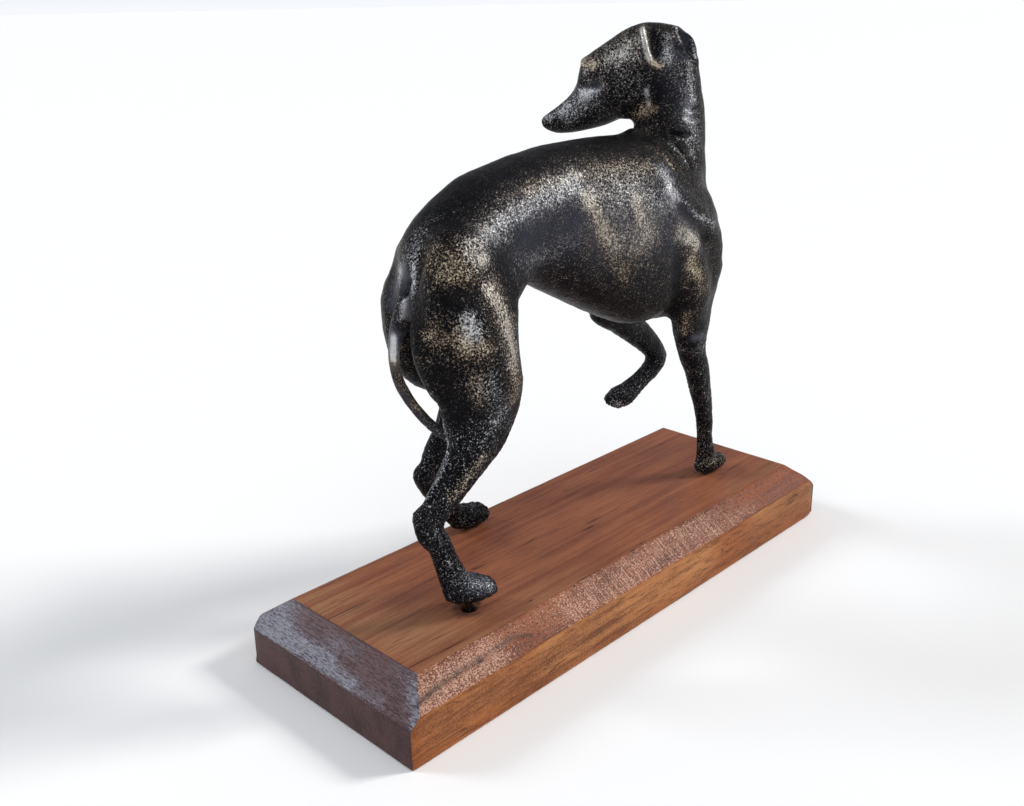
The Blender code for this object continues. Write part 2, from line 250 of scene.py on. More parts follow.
@dataclass(frozen=True)
class BlackenedIron:
    """Sand-cast iron under black lacquer, rubbed through to gold and silver on its grains; the gold and
    silver also carry painted sheen and highlights, and smooth places a painted bluish reflection.
    """

    lacquer: Colour = (0.0022, 0.0024, 0.0036)
    brown: Colour = (0.120, 0.082, 0.052)
    gold: Colour = (0.58, 0.50, 0.35)
    grey: Colour = (0.110, 0.118, 0.138)
    silver: Colour = (0.57, 0.59, 0.63)
    # A painted bluish reflection for smooth places, and how much of it they take
    painted_bluish_sheen: Colour = (0.085, 0.092, 0.125)
    painted_sheen_share: float = 0.8
    grain: float = 0.62 * MM
    leg_grain: float = 0.56 * MM
    grain_depth: float = 0.60 * MM
    curl: float = 0.85 * MM
    curl_span: Span = (0, 0.10)
    curl_share: float = 0.22
    patch: float = 4.5 * MM
    patch_share: float = 0.7
    # Heights between which the legs' coarse grain gives way to the body's
    leg_fade: Span = (78 * MM, 100 * MM)
    # The grain's contrast on the body and on the legs, and how much less the legs are rubbed
    contrast: Span = (2.5, 3.7)
    leg_hold: float = 0.29
    # How well the lacquer holds elsewhere and on black places, and the rubbing left on those
    hold: Span = (0.85, 0.98)
    black_rub: float = 0.12
    # The reach of rubbing and painted sheen where lacquer turns to dull metal, and where that turns bright
    dull_span: Span = (0, 0.50)
    bright_span: Span = (0.40, 1.05)
    # Keeps silver's share sound where nothing is rubbed
    least_rub: float = 0.02
    metallic: float = 0.75
    specular: float = 0.06
    # Each on rough and on smooth places
    roughness: Span = (0.33, 0.24)
    bump: Span = (1.0, 0.06)

    def material(self) -> bpy.types.Material:
        """Build the iron's material, which reads the skin's attribute of patina, painted sheen and painted
        shade.

        Returns:
            The material.
        """
        graph = Graph("blackened_iron")
        patina = graph.add("Attribute", attribute_name="patina")
        zones = graph.add("SeparateColor", {"Color": patina.outputs["Color"]}).outputs
        layers = (Channel.GOLD, Channel.SILVER, Channel.BLACK)
        gold, silver, black = (zones[channel.value] for channel in layers)
        smooth = patina.outputs["Alpha"]
        height = graph.add("SeparateXYZ", {"Vector": graph.place()}).outputs["Z"]
        coarse = graph.step(height, self.leg_fade, (1, 0))
        relief = graph.blend(coarse, graph.noise(self.grain), graph.noise(self.leg_grain))
        off_curl = graph.off_middle(graph.noise(self.curl, detail=1))
        curls = graph.step(off_curl, self.curl_span, (1, 0))
        patches = graph.noise(self.patch)

        # How far the rubbing and the painted sheen reach: more where a zone is strong and where the grains
        # stand high
        both = graph.plus(gold, silver, clamp=True)
        rubbed_and_sheen = graph.times(both, graph.step(black, FULL, (1, self.black_rub)))
        grains = graph.minus(relief, graph.MIDDLE)
        grains = graph.plus(grains, graph.times(curls, self.curl_share))
        reach = graph.times(grains, graph.step(coarse, FULL, self.contrast))
        reach = graph.plus(reach, graph.times(patches, self.patch_share))
        reach = graph.minus(reach, graph.times(coarse, self.leg_hold))
        reach = graph.minus(graph.plus(reach, rubbed_and_sheen), graph.step(black, FULL, self.hold))
        reach = graph.blend(smooth, reach, rubbed_and_sheen)

        # From lacquer through dull metal to bright, brown and gold or grey and silver; the bright metal is
        # partly painted sheen
        all_rub_and_sheen = graph.plus(graph.plus(gold, silver), self.least_rub)
        share = graph.math("DIVIDE", silver, all_rub_and_sheen)
        # Smooth places turn from black lacquer towards the painted bluish reflection
        ground = graph.mix(graph.times(smooth, self.painted_sheen_share), self.lacquer, self.painted_bluish_sheen)
        dull = graph.step(reach, self.dull_span)
        colour = graph.mix(dull, ground, graph.mix(share, self.brown, self.grey))
        bare_and_sheen = graph.step(reach, self.bright_span)
        colour = graph.mix(bare_and_sheen, colour, graph.mix(share, self.gold, self.silver))
        metal = graph.times(bare_and_sheen, self.metallic)
        roughness = graph.step(smooth, FULL, self.roughness)
        normal = graph.bump(relief, self.grain_depth, graph.step(smooth, FULL, self.bump))
        looks = {"Base_Color": colour, "Metallic": metal, "Roughness": roughness}
        return graph.finish(Normal=normal, Specular_IOR_Level=self.specular, **looks)


class WoodCut(Enum):
    """The board's surfaces, each cut and worn in its own way."""

    TOP = 0
    LONG_SIDE = 1
    LONG_CHAMFER = 2
    END_CHAMFER = 3
    END = 4
    UNDERSIDE = 5


@dataclass(frozen=True)
class VarnishedWood:
    """Reddish hardwood under thin satin varnish, as one cut of the board shows it."""

    cut: WoodCut
    light: Colour
    dark: Colour
    warm: Colour
    frost_and_sheen: Colour = (0.64, 0.385, 0.275)
    bare_and_sheen: Colour = (0.35, 0.168, 0.110)
    ink: Colour = (0.035, 0.016, 0.012)
    stain: Colour = (0.040, 0.020, 0.020)
    bleach: float = 0.0
    frost_share: float = 0.0
    dust: float = 0.35
    dust_grain: float = 0.45 * MM
    run: Place = (32, 1, 1)
    band: float = 2.4 * MM
    broad: float = 18 * MM
    broad_run: Place = (2, 1, 1)
    broad_share: float = 0.7
    # The tone at which dark wood turns light, without dust, and half the turn's width
    level: float = 0.77
    softness: float = 0.28
    fibre: float = 0.55 * MM
    fibre_run: Place = (22, 1, 1)
    pore_span: Span = (0.54, 0.66)
    pore_share: float = 0.6
    # Fine dark lines: how far apart, how wavy, how wide, and how they break off
    line_gap: float = 3.0 * MM
    line_twist: float = 0.3
    line_span: Span = (0.003, 0.012)
    line_share: float = 0.75
    break_size: float = 5 * MM
    break_run: Place = (6, 1, 1)
    break_span: Span = (0.44, 0.54)
    # The saw's marks, and how they and the frost lift torn fibres
    saw_mark: float = 0.50 * MM
    saw_run: Place = (1, 14, 14)
    row_share: float = 0.8
    torn_share: float = 0.33
    torn_span: Span = (0.74, 0.88)
    frost_grain: float = 0.50 * MM
    frost_run: Place = (1.2, 1, 1)
    roughness: float = 0.45
    specular: float = 0.15
    depth: float = 0.16 * MM
    # The bump on plain and on warm places
    bump: Span = (0.6, 0.25)

    def material(self) -> bpy.types.Material:
        """Build the material of this cut of the board, which reads the board's wear attribute.

        Returns:
            The material.
        """
        graph = Graph("varnished_wood_" + self.cut.name.lower())
        wear = graph.add("Attribute", attribute_name="wear")
        marks = graph.add("SeparateColor", {"Color": wear.outputs["Color"]}).outputs
        layers = (Wear.FROST_AND_SHEEN, Wear.STAIN, Wear.WARM)
        frosted_and_sheened, stained, warmed = (marks[mark.value] for mark in layers)
        rippled = wear.outputs["Alpha"]

        bands = graph.noise(self.band, detail=3, stretch=self.run)
        fibres = graph.noise(self.fibre, stretch=self.fibre_run)
        broad = graph.noise(self.broad, stretch=self.broad_run)
        dust = graph.noise(self.dust_grain, detail=1)
        tone = graph.plus(bands, graph.times(broad, self.broad_share))
        tone = graph.plus(tone, graph.times(dust, self.dust))
        ground = graph.mix(warmed, self.light, self.warm)
        ground = graph.mix(graph.times(frosted_and_sheened, self.bleach), ground, self.bare_and_sheen)
        level = self.level + graph.MIDDLE * self.dust
        lit = graph.step(tone, (level - self.softness, level + self.softness))
        colour = graph.mix(lit, self.dark, ground)
        pores = graph.step(fibres, self.pore_span)
        colour = graph.mix(graph.times(pores, self.pore_share), colour, self.dark)
        wander = graph.noise(self.line_gap, detail=1, stretch=self.run, twist=self.line_twist)
        off_line = graph.off_middle(wander)
        breaks = graph.noise(self.break_size, detail=1, stretch=self.break_run)
        broken = graph.step(breaks, self.break_span)
        lines = graph.times(graph.step(off_line, self.line_span, (self.line_share, 0)), broken)
        colour = graph.mix(lines, colour, self.ink)

        # Bare, torn fibres that catch the light, in rows where the saw's marks cross the grain; on the rear
        # chamfer the silvery frost is also a painted reflection
        ripples = graph.noise(self.saw_mark, detail=1, stretch=self.saw_run)
        rows = graph.times(graph.minus(ripples, graph.MIDDLE), rippled)
        specks = graph.noise(self.frost_grain, detail=1, stretch=self.frost_run)
        frosty = graph.times(frosted_and_sheened, self.torn_share)
        torn = graph.plus(frosty, graph.times(rows, self.row_share))
        frost_and_sheen = graph.step(graph.plus(specks, torn), self.torn_span)
        colour = graph.mix(graph.times(frost_and_sheen, self.frost_share), colour, self.frost_and_sheen)
        colour = graph.mix(stained, colour, self.stain)
        relief = graph.plus(graph.minus(specks, pores), ripples)
        normal = graph.bump(relief, self.depth, graph.step(warmed, FULL, self.bump))
        looks = {"Base_Color": colour, "Roughness": self.roughness}
        return graph.finish(Normal=normal, Specular_IOR_Level=self.specular, **looks)


@dataclass(frozen=True)
class DarkSteel:
    """A bare steel pin, darkened and dull."""

    colour: Colour = (0.03, 0.028, 0.026)
    worn: Colour = (0.16, 0.15, 0.14)
    mark: float = 0.4 * MM
    mark_run: Place = (1, 1, 6)
    worn_span: Span = (0.5, 0.75)
    depth: float = 0.1 * MM
    bump: float = 0.5
    metallic: float = 0.9
    roughness: float = 0.42

    def material(self) -> bpy.types.Material:
        """Build the pin's material.

        Returns:
            The material.
        """
        graph = Graph("dark_steel")
        marks = graph.noise(self.mark, detail=3, stretch=self.mark_run)
        colour = graph.mix(graph.step(marks, self.worn_span), self.colour, self.worn)
        normal = graph.bump(marks, self.depth, self.bump)
        return graph.finish(
            Base_Color=colour, Metallic=self.metallic, Roughness=self.roughness, Normal=normal
        )


def select_only(piece: bpy.types.Object) -> None:
    """Select one object alone and make it active.

    Args:
        piece: The object to select.
    """
    bpy.ops.object.select_all(action="DESELECT")
    piece.select_set(True)
    bpy.context.view_layer.objects.active = piece


def copy_of_node(node: Node, name: str) -> bpy.types.Object:
    """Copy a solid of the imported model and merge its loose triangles.

    Args:
        node: The solid to copy.
        name: The copy's name.

    Returns:
        The copy, which stands where the solid does.
    """
    made = bpy.data.objects.new(name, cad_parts[node.value].data.copy())
    bpy.context.scene.collection.objects.link(made)
    made.data.materials.clear()
    select_only(made)
    bpy.ops.object.mode_set(mode="EDIT")
    bpy.ops.mesh.select_all(action="SELECT")
    bpy.ops.mesh.remove_doubles(threshold=WELD)
    bpy.ops.object.mode_set(mode="OBJECT")
    return made


def modify(piece: bpy.types.Object, kind: str, **settings: Any) -> None:
    """Add a modifier with its settings and apply it.

    Args:
        piece: The object to change.
        kind: The modifier's type.
        settings: The modifier's own options.
    """
    select_only(piece)
    modifier = piece.modifiers.new(kind.lower(), kind)
    for option, value in settings.items():
        setattr(modifier, option, value)
    bpy.ops.object.modifier_apply(modifier=modifier.name)


def declare(piece: bpy.types.Object, node: Node) -> None:
    """Say which body a piece rides on and which solid it stands for, and hide that solid.

    Args:
        piece: The finished piece.
        node: The solid that it stands for.
    """
    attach(piece, Body.STATUE.value)
    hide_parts(node.value)
    log.info("%s: %d faces, stands for %s", piece.name, len(piece.data.polygons), node.value)


class Clay:
    """A skin whose points move along their normals or take patina, on the figure's grid."""

    # The sole of the standing paws, in millimetres above the board's underside
    FLOOR = 23.3
    # How many radii away a stroke is still felt
    REACH = 2.4
    WEIGHT_STEPS = 20
    SHORTEST = 1e-9

    def __init__(self, piece: bpy.types.Object) -> None:
        """Take up an object's skin.

        Args:
            piece: The object to work on.
        """
        self.piece = piece
        self.read()

    def read(self) -> None:
        """Read the points and normals from the mesh."""
        mesh = self.piece.data
        count = len(mesh.vertices)
        points = np.empty(count * 3, np.float32)
        mesh.vertices.foreach_get("co", points)
        self.points = points.reshape(-1, 3) / MM - (0, 0, self.FLOOR)
        normals = np.empty(count * 3, np.float32)
        mesh.vertex_normals.foreach_get("vector", normals)
        self.normals = normals.reshape(-1, 3)

    def write(self) -> None:
        """Put the points back into the mesh."""
        places = (self.points + (0, 0, self.FLOOR)) * MM
        self.piece.data.vertices.foreach_set("co", places.astype(np.float32).ravel())
        self.piece.data.update()

    def near(self, path: Path, radius: float) -> tuple[np.ndarray, np.ndarray]:
        """Find the points near a path.

        Args:
            path: The places that the path runs through.
            radius: The path's half width.

        Returns:
            The near points' numbers, and how strongly the path touches each, from 0 to 1.
        """
        line = np.array(path, float)
        reach = radius * self.REACH
        inside = (self.points > line.min(0) - reach) & (self.points < line.max(0) + reach)
        found = np.flatnonzero(inside.all(1))
        places = self.points[found]
        away = np.full(len(found), np.inf)
        for start, end in zip(line, line[1:] if len(line) > 1 else line):
            along = end - start
            length = max(along @ along, self.SHORTEST)
            share = np.clip((places - start) @ along / length, 0, 1)
            offset = places - start - share[:, None] * along
            away = np.minimum(away, np.linalg.norm(offset, axis=1))
        return found, np.exp(-((away / radius) ** 2))

    def carve(self, strokes: tuple[Stroke, ...]) -> None:
        """Push the skin out or in along its normals, by millimetres.

        Args:
            strokes: The tool's strokes.
        """
        moves = np.zeros(len(self.points))
        for amount, radius, path in strokes:
            found, share = self.near(path, radius)
            moves[found] += amount * share
        self.points = self.points + self.normals * moves[:, None]
        self.write()
        self.read()

    def blank(self) -> np.ndarray:
        """Return four empty layers for the points."""
        return np.zeros((len(self.points), 4))

    def layered(self, layers: np.ndarray, marks: dict[Enum, tuple[Stroke, ...]]) -> None:
        """Add strokes to the layers of an attribute.

        Args:
            layers: One row of values for each point, changed in place.
            marks: The strokes of each layer.
        """
        for mark, strokes in marks.items():
            for amount, radius, path in strokes:
                found, share = self.near(path, radius)
                layers[found, mark.value] += amount * share

    def keep(self, name: str, layers: np.ndarray) -> None:
        """Store the layers as an attribute of the mesh, each between 0 and 1."""
        stored = self.piece.data.color_attributes.new(name, "FLOAT_COLOR", "POINT")
        stored.data.foreach_set("color", np.clip(layers, 0, 1).astype(np.float32).ravel())

    def group(self, name: str, weights: np.ndarray) -> None:
        """Store weights as a vertex group, in even steps.

        Args:
            name: The group's name.
            weights: One weight for each point, from 0 to 1.
        """
        made = self.piece.vertex_groups.new(name=name)
        steps = np.rint(np.clip(weights, 0, 1) * self.WEIGHT_STEPS).astype(int)
        for step in range(1, self.WEIGHT_STEPS + 1):
            chosen = np.flatnonzero(steps == step).tolist()
            made.add(chosen, step / self.WEIGHT_STEPS, "REPLACE")


def across_head(strokes: tuple[Stroke, ...]) -> tuple[Stroke, ...]:
    """Repeat strokes on the other side of the head's middle plane.

    Args:
        strokes: The strokes on one side.

    Returns:
        The strokes on the other side.
    """
    middle = Vector(HEAD_MIDDLE)
    across = Vector(ACROSS_HEAD)
    turned = []
    for amount, radius, path in strokes:
        places = [Vector(place) for place in path]
        places = [place - 2 * (place - middle).dot(across) * across for place in places]
        turned.append((amount, radius, tuple(tuple(place) for place in places)))
    return tuple(turned)


def across_dog(strokes: tuple[Stroke, ...]) -> tuple[Stroke, ...]:
    """Repeat strokes on the dog's other flank.

    Args:
        strokes: The strokes on one flank.

    Returns:
        The strokes on the other flank.
    """
    turned = []
    for amount, radius, path in strokes:
        turned.append((amount, radius, tuple((x, -y, z) for x, y, z in path)))
    return tuple(turned)


# The tail's run and the raised paw
TAIL_PATH: Path = ((-75, 1, 90), (-75.3, 0.7, 77), (-70.4, -1.4, 65.2), (-64.3, -12, 55.8))
RAISED_PAW: Path = ((42, 14, 32), (56, 12.5, 33))

# Paths that more than one table follows
LEFT_EAR_RIM: Path = ((39.1, 1.1, 169.2), (38.3, -1, 164.5), (37.9, -2.6, 159.8))
LEFT_EAR_LOBE: Path = ((37.9, -2.8, 158.8), (39.4, -4.8, 157.2), (41, -5.9, 157.2))
EAR_FLAP: Path = ((50.3, -4.3, 169.1), (48.7, -7.7, 164.7))
RIGHT_EAR_RIM: Path = ((53.4, -6.2, 168.3), (53.4, -9.1, 163.9), (54, -9.9, 159.7))
RIGHT_EAR_HOLLOW: Path = ((51.8, -6, 168), (51.4, -8.6, 164), (51.4, -9.5, 160.6))
NAPE_FOLD: Path = ((46.4, -7.5, 162.2), (48.5, -8.8, 160))
CHEEK: Path = ((31.2, 20.1, 147.8), (32.3, 15.6, 149.9))
UPPER_WRINKLE: Path = ((49.2, -9.6, 142.1), (52.7, -10.3, 140.9), (57, -10.6, 141.4))
LOWER_WRINKLE: Path = ((48.2, -9.9, 139.3), (51.9, -10.8, 138), (56.8, -11.1, 138.5))
NECK_CREASE: Path = ((43.3, -9.2, 135.6), (46.5, -10.8, 134.4), (50.2, -11.9, 134.8))
CREASE_EDGE: Path = ((43.8, -10.4, 133.9), (47, -11.9, 132.7), (50.6, -12.8, 133.2))
SHOULDER: Path = ((27.8, -17.8, 124.8), (28.3, -21, 118.5))
HIP: Path = ((-60, -18.1, 114.2), (-59.4, -19.7, 110.9))
TORN_HOLE: Path = ((-70.6, -0.6, 103.2), (-71.3, -0.8, 100.8))
RUMP_RIDGE: Path = ((-66.5, -1.4, 113.2), (-68.9, -2.6, 107.1), (-70.6, -3, 99.8))
TAIL_RIDGE: Path = ((-72.2, -1.6, 98.8), (-73.6, -2.4, 96.2), (-74.3, -1.6, 93.2))
THIGH_SEAM: Path = ((-74, -8.5, 80), (-72.6, -11.9, 71.8), (-69.2, -12.7, 62.3), (-67.8, -12.8, 57.5))
HOCK_SEAM: Path = ((-67.8, -12.8, 57.5), (-71.7, -16, 53.3), (-74.6, -16.4, 49.2), (-79.2, -15.4, 43))
PASTERN: Path = ((-80, -19.4, 33.6), (-77, -19.5, 26), (-74.3, -19.3, 18.6))

# The head's middle plane on the figure's grid, and the way across it
HEAD_MIDDLE = (47, 4, 0)
ACROSS_HEAD = (0.8, 0.6, 0)

# Carving in millimetres, on the side of the head that the camera sees
HEAD_CARVING: tuple[Stroke, ...] = (
    # Brow, eyeball, lids and socket
    (0.4, 1.5, ((33.4, 22.4, 158.6), (31.8, 18.5, 158.3), (32.4, 15.5, 158))),
    (0.6, 1.25, ((31.2, 19.2, 155), (31.3, 17.6, 154.7))),
    (-0.45, 0.6, ((32, 21.8, 156.8), (31, 18.8, 156.9), (31.9, 15.6, 156))),
    (-0.4, 0.6, ((31.8, 21, 153.4), (31.1, 18.2, 152.8), (32, 15.6, 153.5))),
    (-0.5, 1.3, ((31.2, 19.5, 151.2), (32.3, 15.8, 151))),
    # Nostril, mouth and nose pad
    (-0.5, 0.6, ((27.9, 34.1, 139.2), (28.1, 33.5, 138.8))),
    (-0.35, 0.45, ((27.9, 34.8, 136.6), (29, 30, 137), (31.6, 25, 137.3), (33.6, 20, 138.2))),
    (0.3, 1.3, ((27.9, 35.9, 138.6),)),
    # Jaw's rear edge
    (0.4, 0.9, ((40.9, 0.6, 149.5), (42.1, 0.5, 144.5), (42.3, 2.5, 141))),
)

EAR_CARVING: tuple[Stroke, ...] = (
    # Left ear: hollow, front rim and the fold before it
    (-1.1, 1.3, ((42.2, -1.2, 167), (41.6, -2.2, 164), (41.5, -3.2, 160.8))),
    (0.45, 0.6, LEFT_EAR_RIM),
    (-0.4, 0.5, ((37.9, 2.2, 168.5), (37.2, 0.4, 164), (36.9, -1.2, 160))),
    # Right ear: hollow, outer rim and the fold that lies on the nape
    (-0.8, 1, ((50.5, -6, 168.2), (50.4, -8, 165.5), (51.9, -9.4, 161.5))),
    (0.5, 0.6, ((52.6, -7.2, 167.6), (53.6, -8.2, 165.9), (54.2, -9.2, 163.2), (55.5, -9.4, 158.4))),
    (-0.5, 0.6, ((44.4, -7.2, 164.4), (47, -8.2, 162.3), (49.3, -9, 160.2), (54.8, -9.6, 157))),
    # Its outer edge, cut back below the crown's corner, and the notch under its tip
    (-1.8, 2.6, ((55.6, -6.6, 168.2), (57.2, -6.8, 166.4), (58.2, -7.2, 164.4))),
    (-1, 2.2, ((58.2, -7.6, 162.6), (58, -8.2, 160.6))),
    (-1.2, 1.8, ((57.8, -8.6, 158.2), (58.8, -8, 156))),
    # Flap between the ears
    (-0.5, 0.6, ((45.4, -4.4, 169.5), (46.2, -6.2, 166), (46.4, -7.5, 162.6))),
    (0.5, 1.5, ((44.4, -4.6, 167), (43.8, -5.4, 163), (43.2, -5.8, 159.7))),
    (0.4, 0.8, EAR_FLAP),
    (0.4, 0.7, RIGHT_EAR_RIM),
    (0.4, 0.8, LEFT_EAR_LOBE),
)

NECK_CARVING: tuple[Stroke, ...] = (
    # Deep crease at the neck's base and the wrinkles above it
    (-1, 0.8, NECK_CREASE),
    (0.45, 0.7, CREASE_EDGE),
    (-0.4, 0.5, ((50.6, -9.2, 146.6), (53.6, -9.7, 145.8), (57, -9.8, 146.2))),
    (-0.45, 0.5, ((49.8, -9.3, 143.6), (53, -9.9, 142.4), (57, -10.2, 142.8))),
    (-0.45, 0.5, ((48.8, -9.7, 140.6), (52.4, -10.5, 139.2), (57, -10.8, 139.8))),
    (-0.45, 0.5, ((47.6, -10, 138), (51.5, -11, 136.8), (56.4, -11.3, 137.2))),
    (0.3, 0.6, UPPER_WRINKLE),
    (0.3, 0.6, LOWER_WRINKLE),
    # Folds of skin that run from the nape to the shoulder
    (0.55, 0.7, ((32.1, -10.8, 132.4), (33.5, -14, 128.7), (35.2, -17.5, 124.6))),
    (-0.7, 1, ((36.5, -10.5, 132.5), (37.8, -14.5, 128.4), (39, -17.8, 124.5))),
    (0.6, 0.7, ((40.8, -8.9, 133.6), (41.8, -13, 129.5), (42.9, -17.1, 124.8))),
    (-0.5, 0.6, ((43, -11.5, 131.8), (44, -14.8, 127.3), (44.8, -17, 124))),
    (0.4, 0.7, ((44.8, -11.6, 131), (45.8, -14.2, 127.5), (46.7, -16.5, 124))),
    (-0.35, 0.5, ((38.4, -9.4, 133), (39.6, -13, 129.4), (40.8, -17.3, 124.6))),
)

RUMP_CARVING: tuple[Stroke, ...] = (
    # Torn hole under the tail's root
    (-2.2, 1.3, TORN_HOLE),
    (-0.9, 0.7, ((-70.2, -2.2, 104.4), (-70.6, 1.2, 102.2))),
    (-0.7, 0.6, ((-71.5, -0.4, 100.2), (-72.4, 0.2, 98.4))),
    # Ridges beside it and the notch where the tail parts from the rump
    (0.5, 0.9, RUMP_RIDGE),
    (0.5, 0.6, TAIL_RIDGE),
    (-0.9, 0.9, ((-74.6, -1.4, 91.4), (-73.6, -2.8, 90.8))),
    (-0.5, 1.2, ((-70.5, -4.8, 103), (-72.5, -4.4, 96))),
)

LEG_CARVING: tuple[Stroke, ...] = (
    # Parting line of the mould down the right hind leg
    (0.4, 0.45, THIGH_SEAM),
    (0.4, 0.45, HOCK_SEAM),
    # Tendons of the hock and the pastern
    (-0.45, 1.1, ((-68.5, -20.5, 52.5), (-74, -20, 46), (-79, -19.6, 40.5))),
    (0.3, 0.5, PASTERN),
    (-0.35, 0.6, ((-78.2, -19.4, 34), (-75.4, -19.5, 26), (-72.6, -19.5, 18))),
    # Ring round the right forearm, below the elbow
    (0.35, 0.5, ((49.9, -11.4, 56.8), (53.5, -15.8, 57.4), (57.7, -16.6, 56.8), (61.5, -12.5, 56.6))),
    (-0.4, 0.7, ((48.9, -13, 60), (52.7, -17.6, 60), (57.5, -17.6, 59.4))),
)

# Grooves between the toes of the four paws
TOE_CARVING: tuple[Stroke, ...] = (
    (-0.45, 0.6, ((-63.5, -14.6, 11.2), (-58.5, -14.8, 9.2), (-55, -14.8, 5.5), (-55.2, -14.8, 3.2))),
    (-0.45, 0.6, ((-63.5, -17.3, 11.4), (-58.2, -17.6, 9.4), (-54.2, -17.6, 5.5), (-54.6, -17.6, 3.2))),
    (-0.45, 0.6, ((-63.5, -20, 10.4), (-58.5, -20.4, 8.4), (-55, -20.4, 5.2), (-55.4, -20.4, 3.2))),
    (-0.45, 0.6, ((-26, 22.4, 8.8), (-21, 22.4, 7), (-17, 22.4, 3), (-17, 22.4, 0.5))),
    (-0.45, 0.6, ((-26, 25.1, 9.4), (-20.5, 25.1, 7.4), (-16, 25.1, 3), (-16, 25.1, 0.5))),
    (-0.45, 0.6, ((-26, 27.8, 8.8), (-21, 27.8, 7), (-17, 27.8, 3), (-17, 27.8, 0.5))),
    (-0.45, 0.6, ((74, -13.2, 7.6), (79, -13.2, 6), (83, -13, 3), (83, -13, 0.5))),
    (-0.45, 0.6, ((74, -11, 8), (79.5, -11, 6.2), (83.6, -11, 3), (83.6, -11, 0.5))),
    (-0.45, 0.6, ((74, -8.8, 7.6), (79, -8.8, 6), (83, -9, 3), (83, -9, 0.5))),
    (-0.4, 0.6, ((47, 11.8, 28.6), (42, 11.8, 29.6), (38.6, 11.8, 33), (40, 11.8, 35.6))),
    (-0.4, 0.6, ((47, 14, 28.2), (42, 14, 29.2), (38.2, 14, 33), (40, 14, 36))),
    (-0.4, 0.6, ((47, 16.2, 28.6), (42, 16.2, 29.6), (38.6, 16.2, 33), (40, 16.2, 35.6))),
)

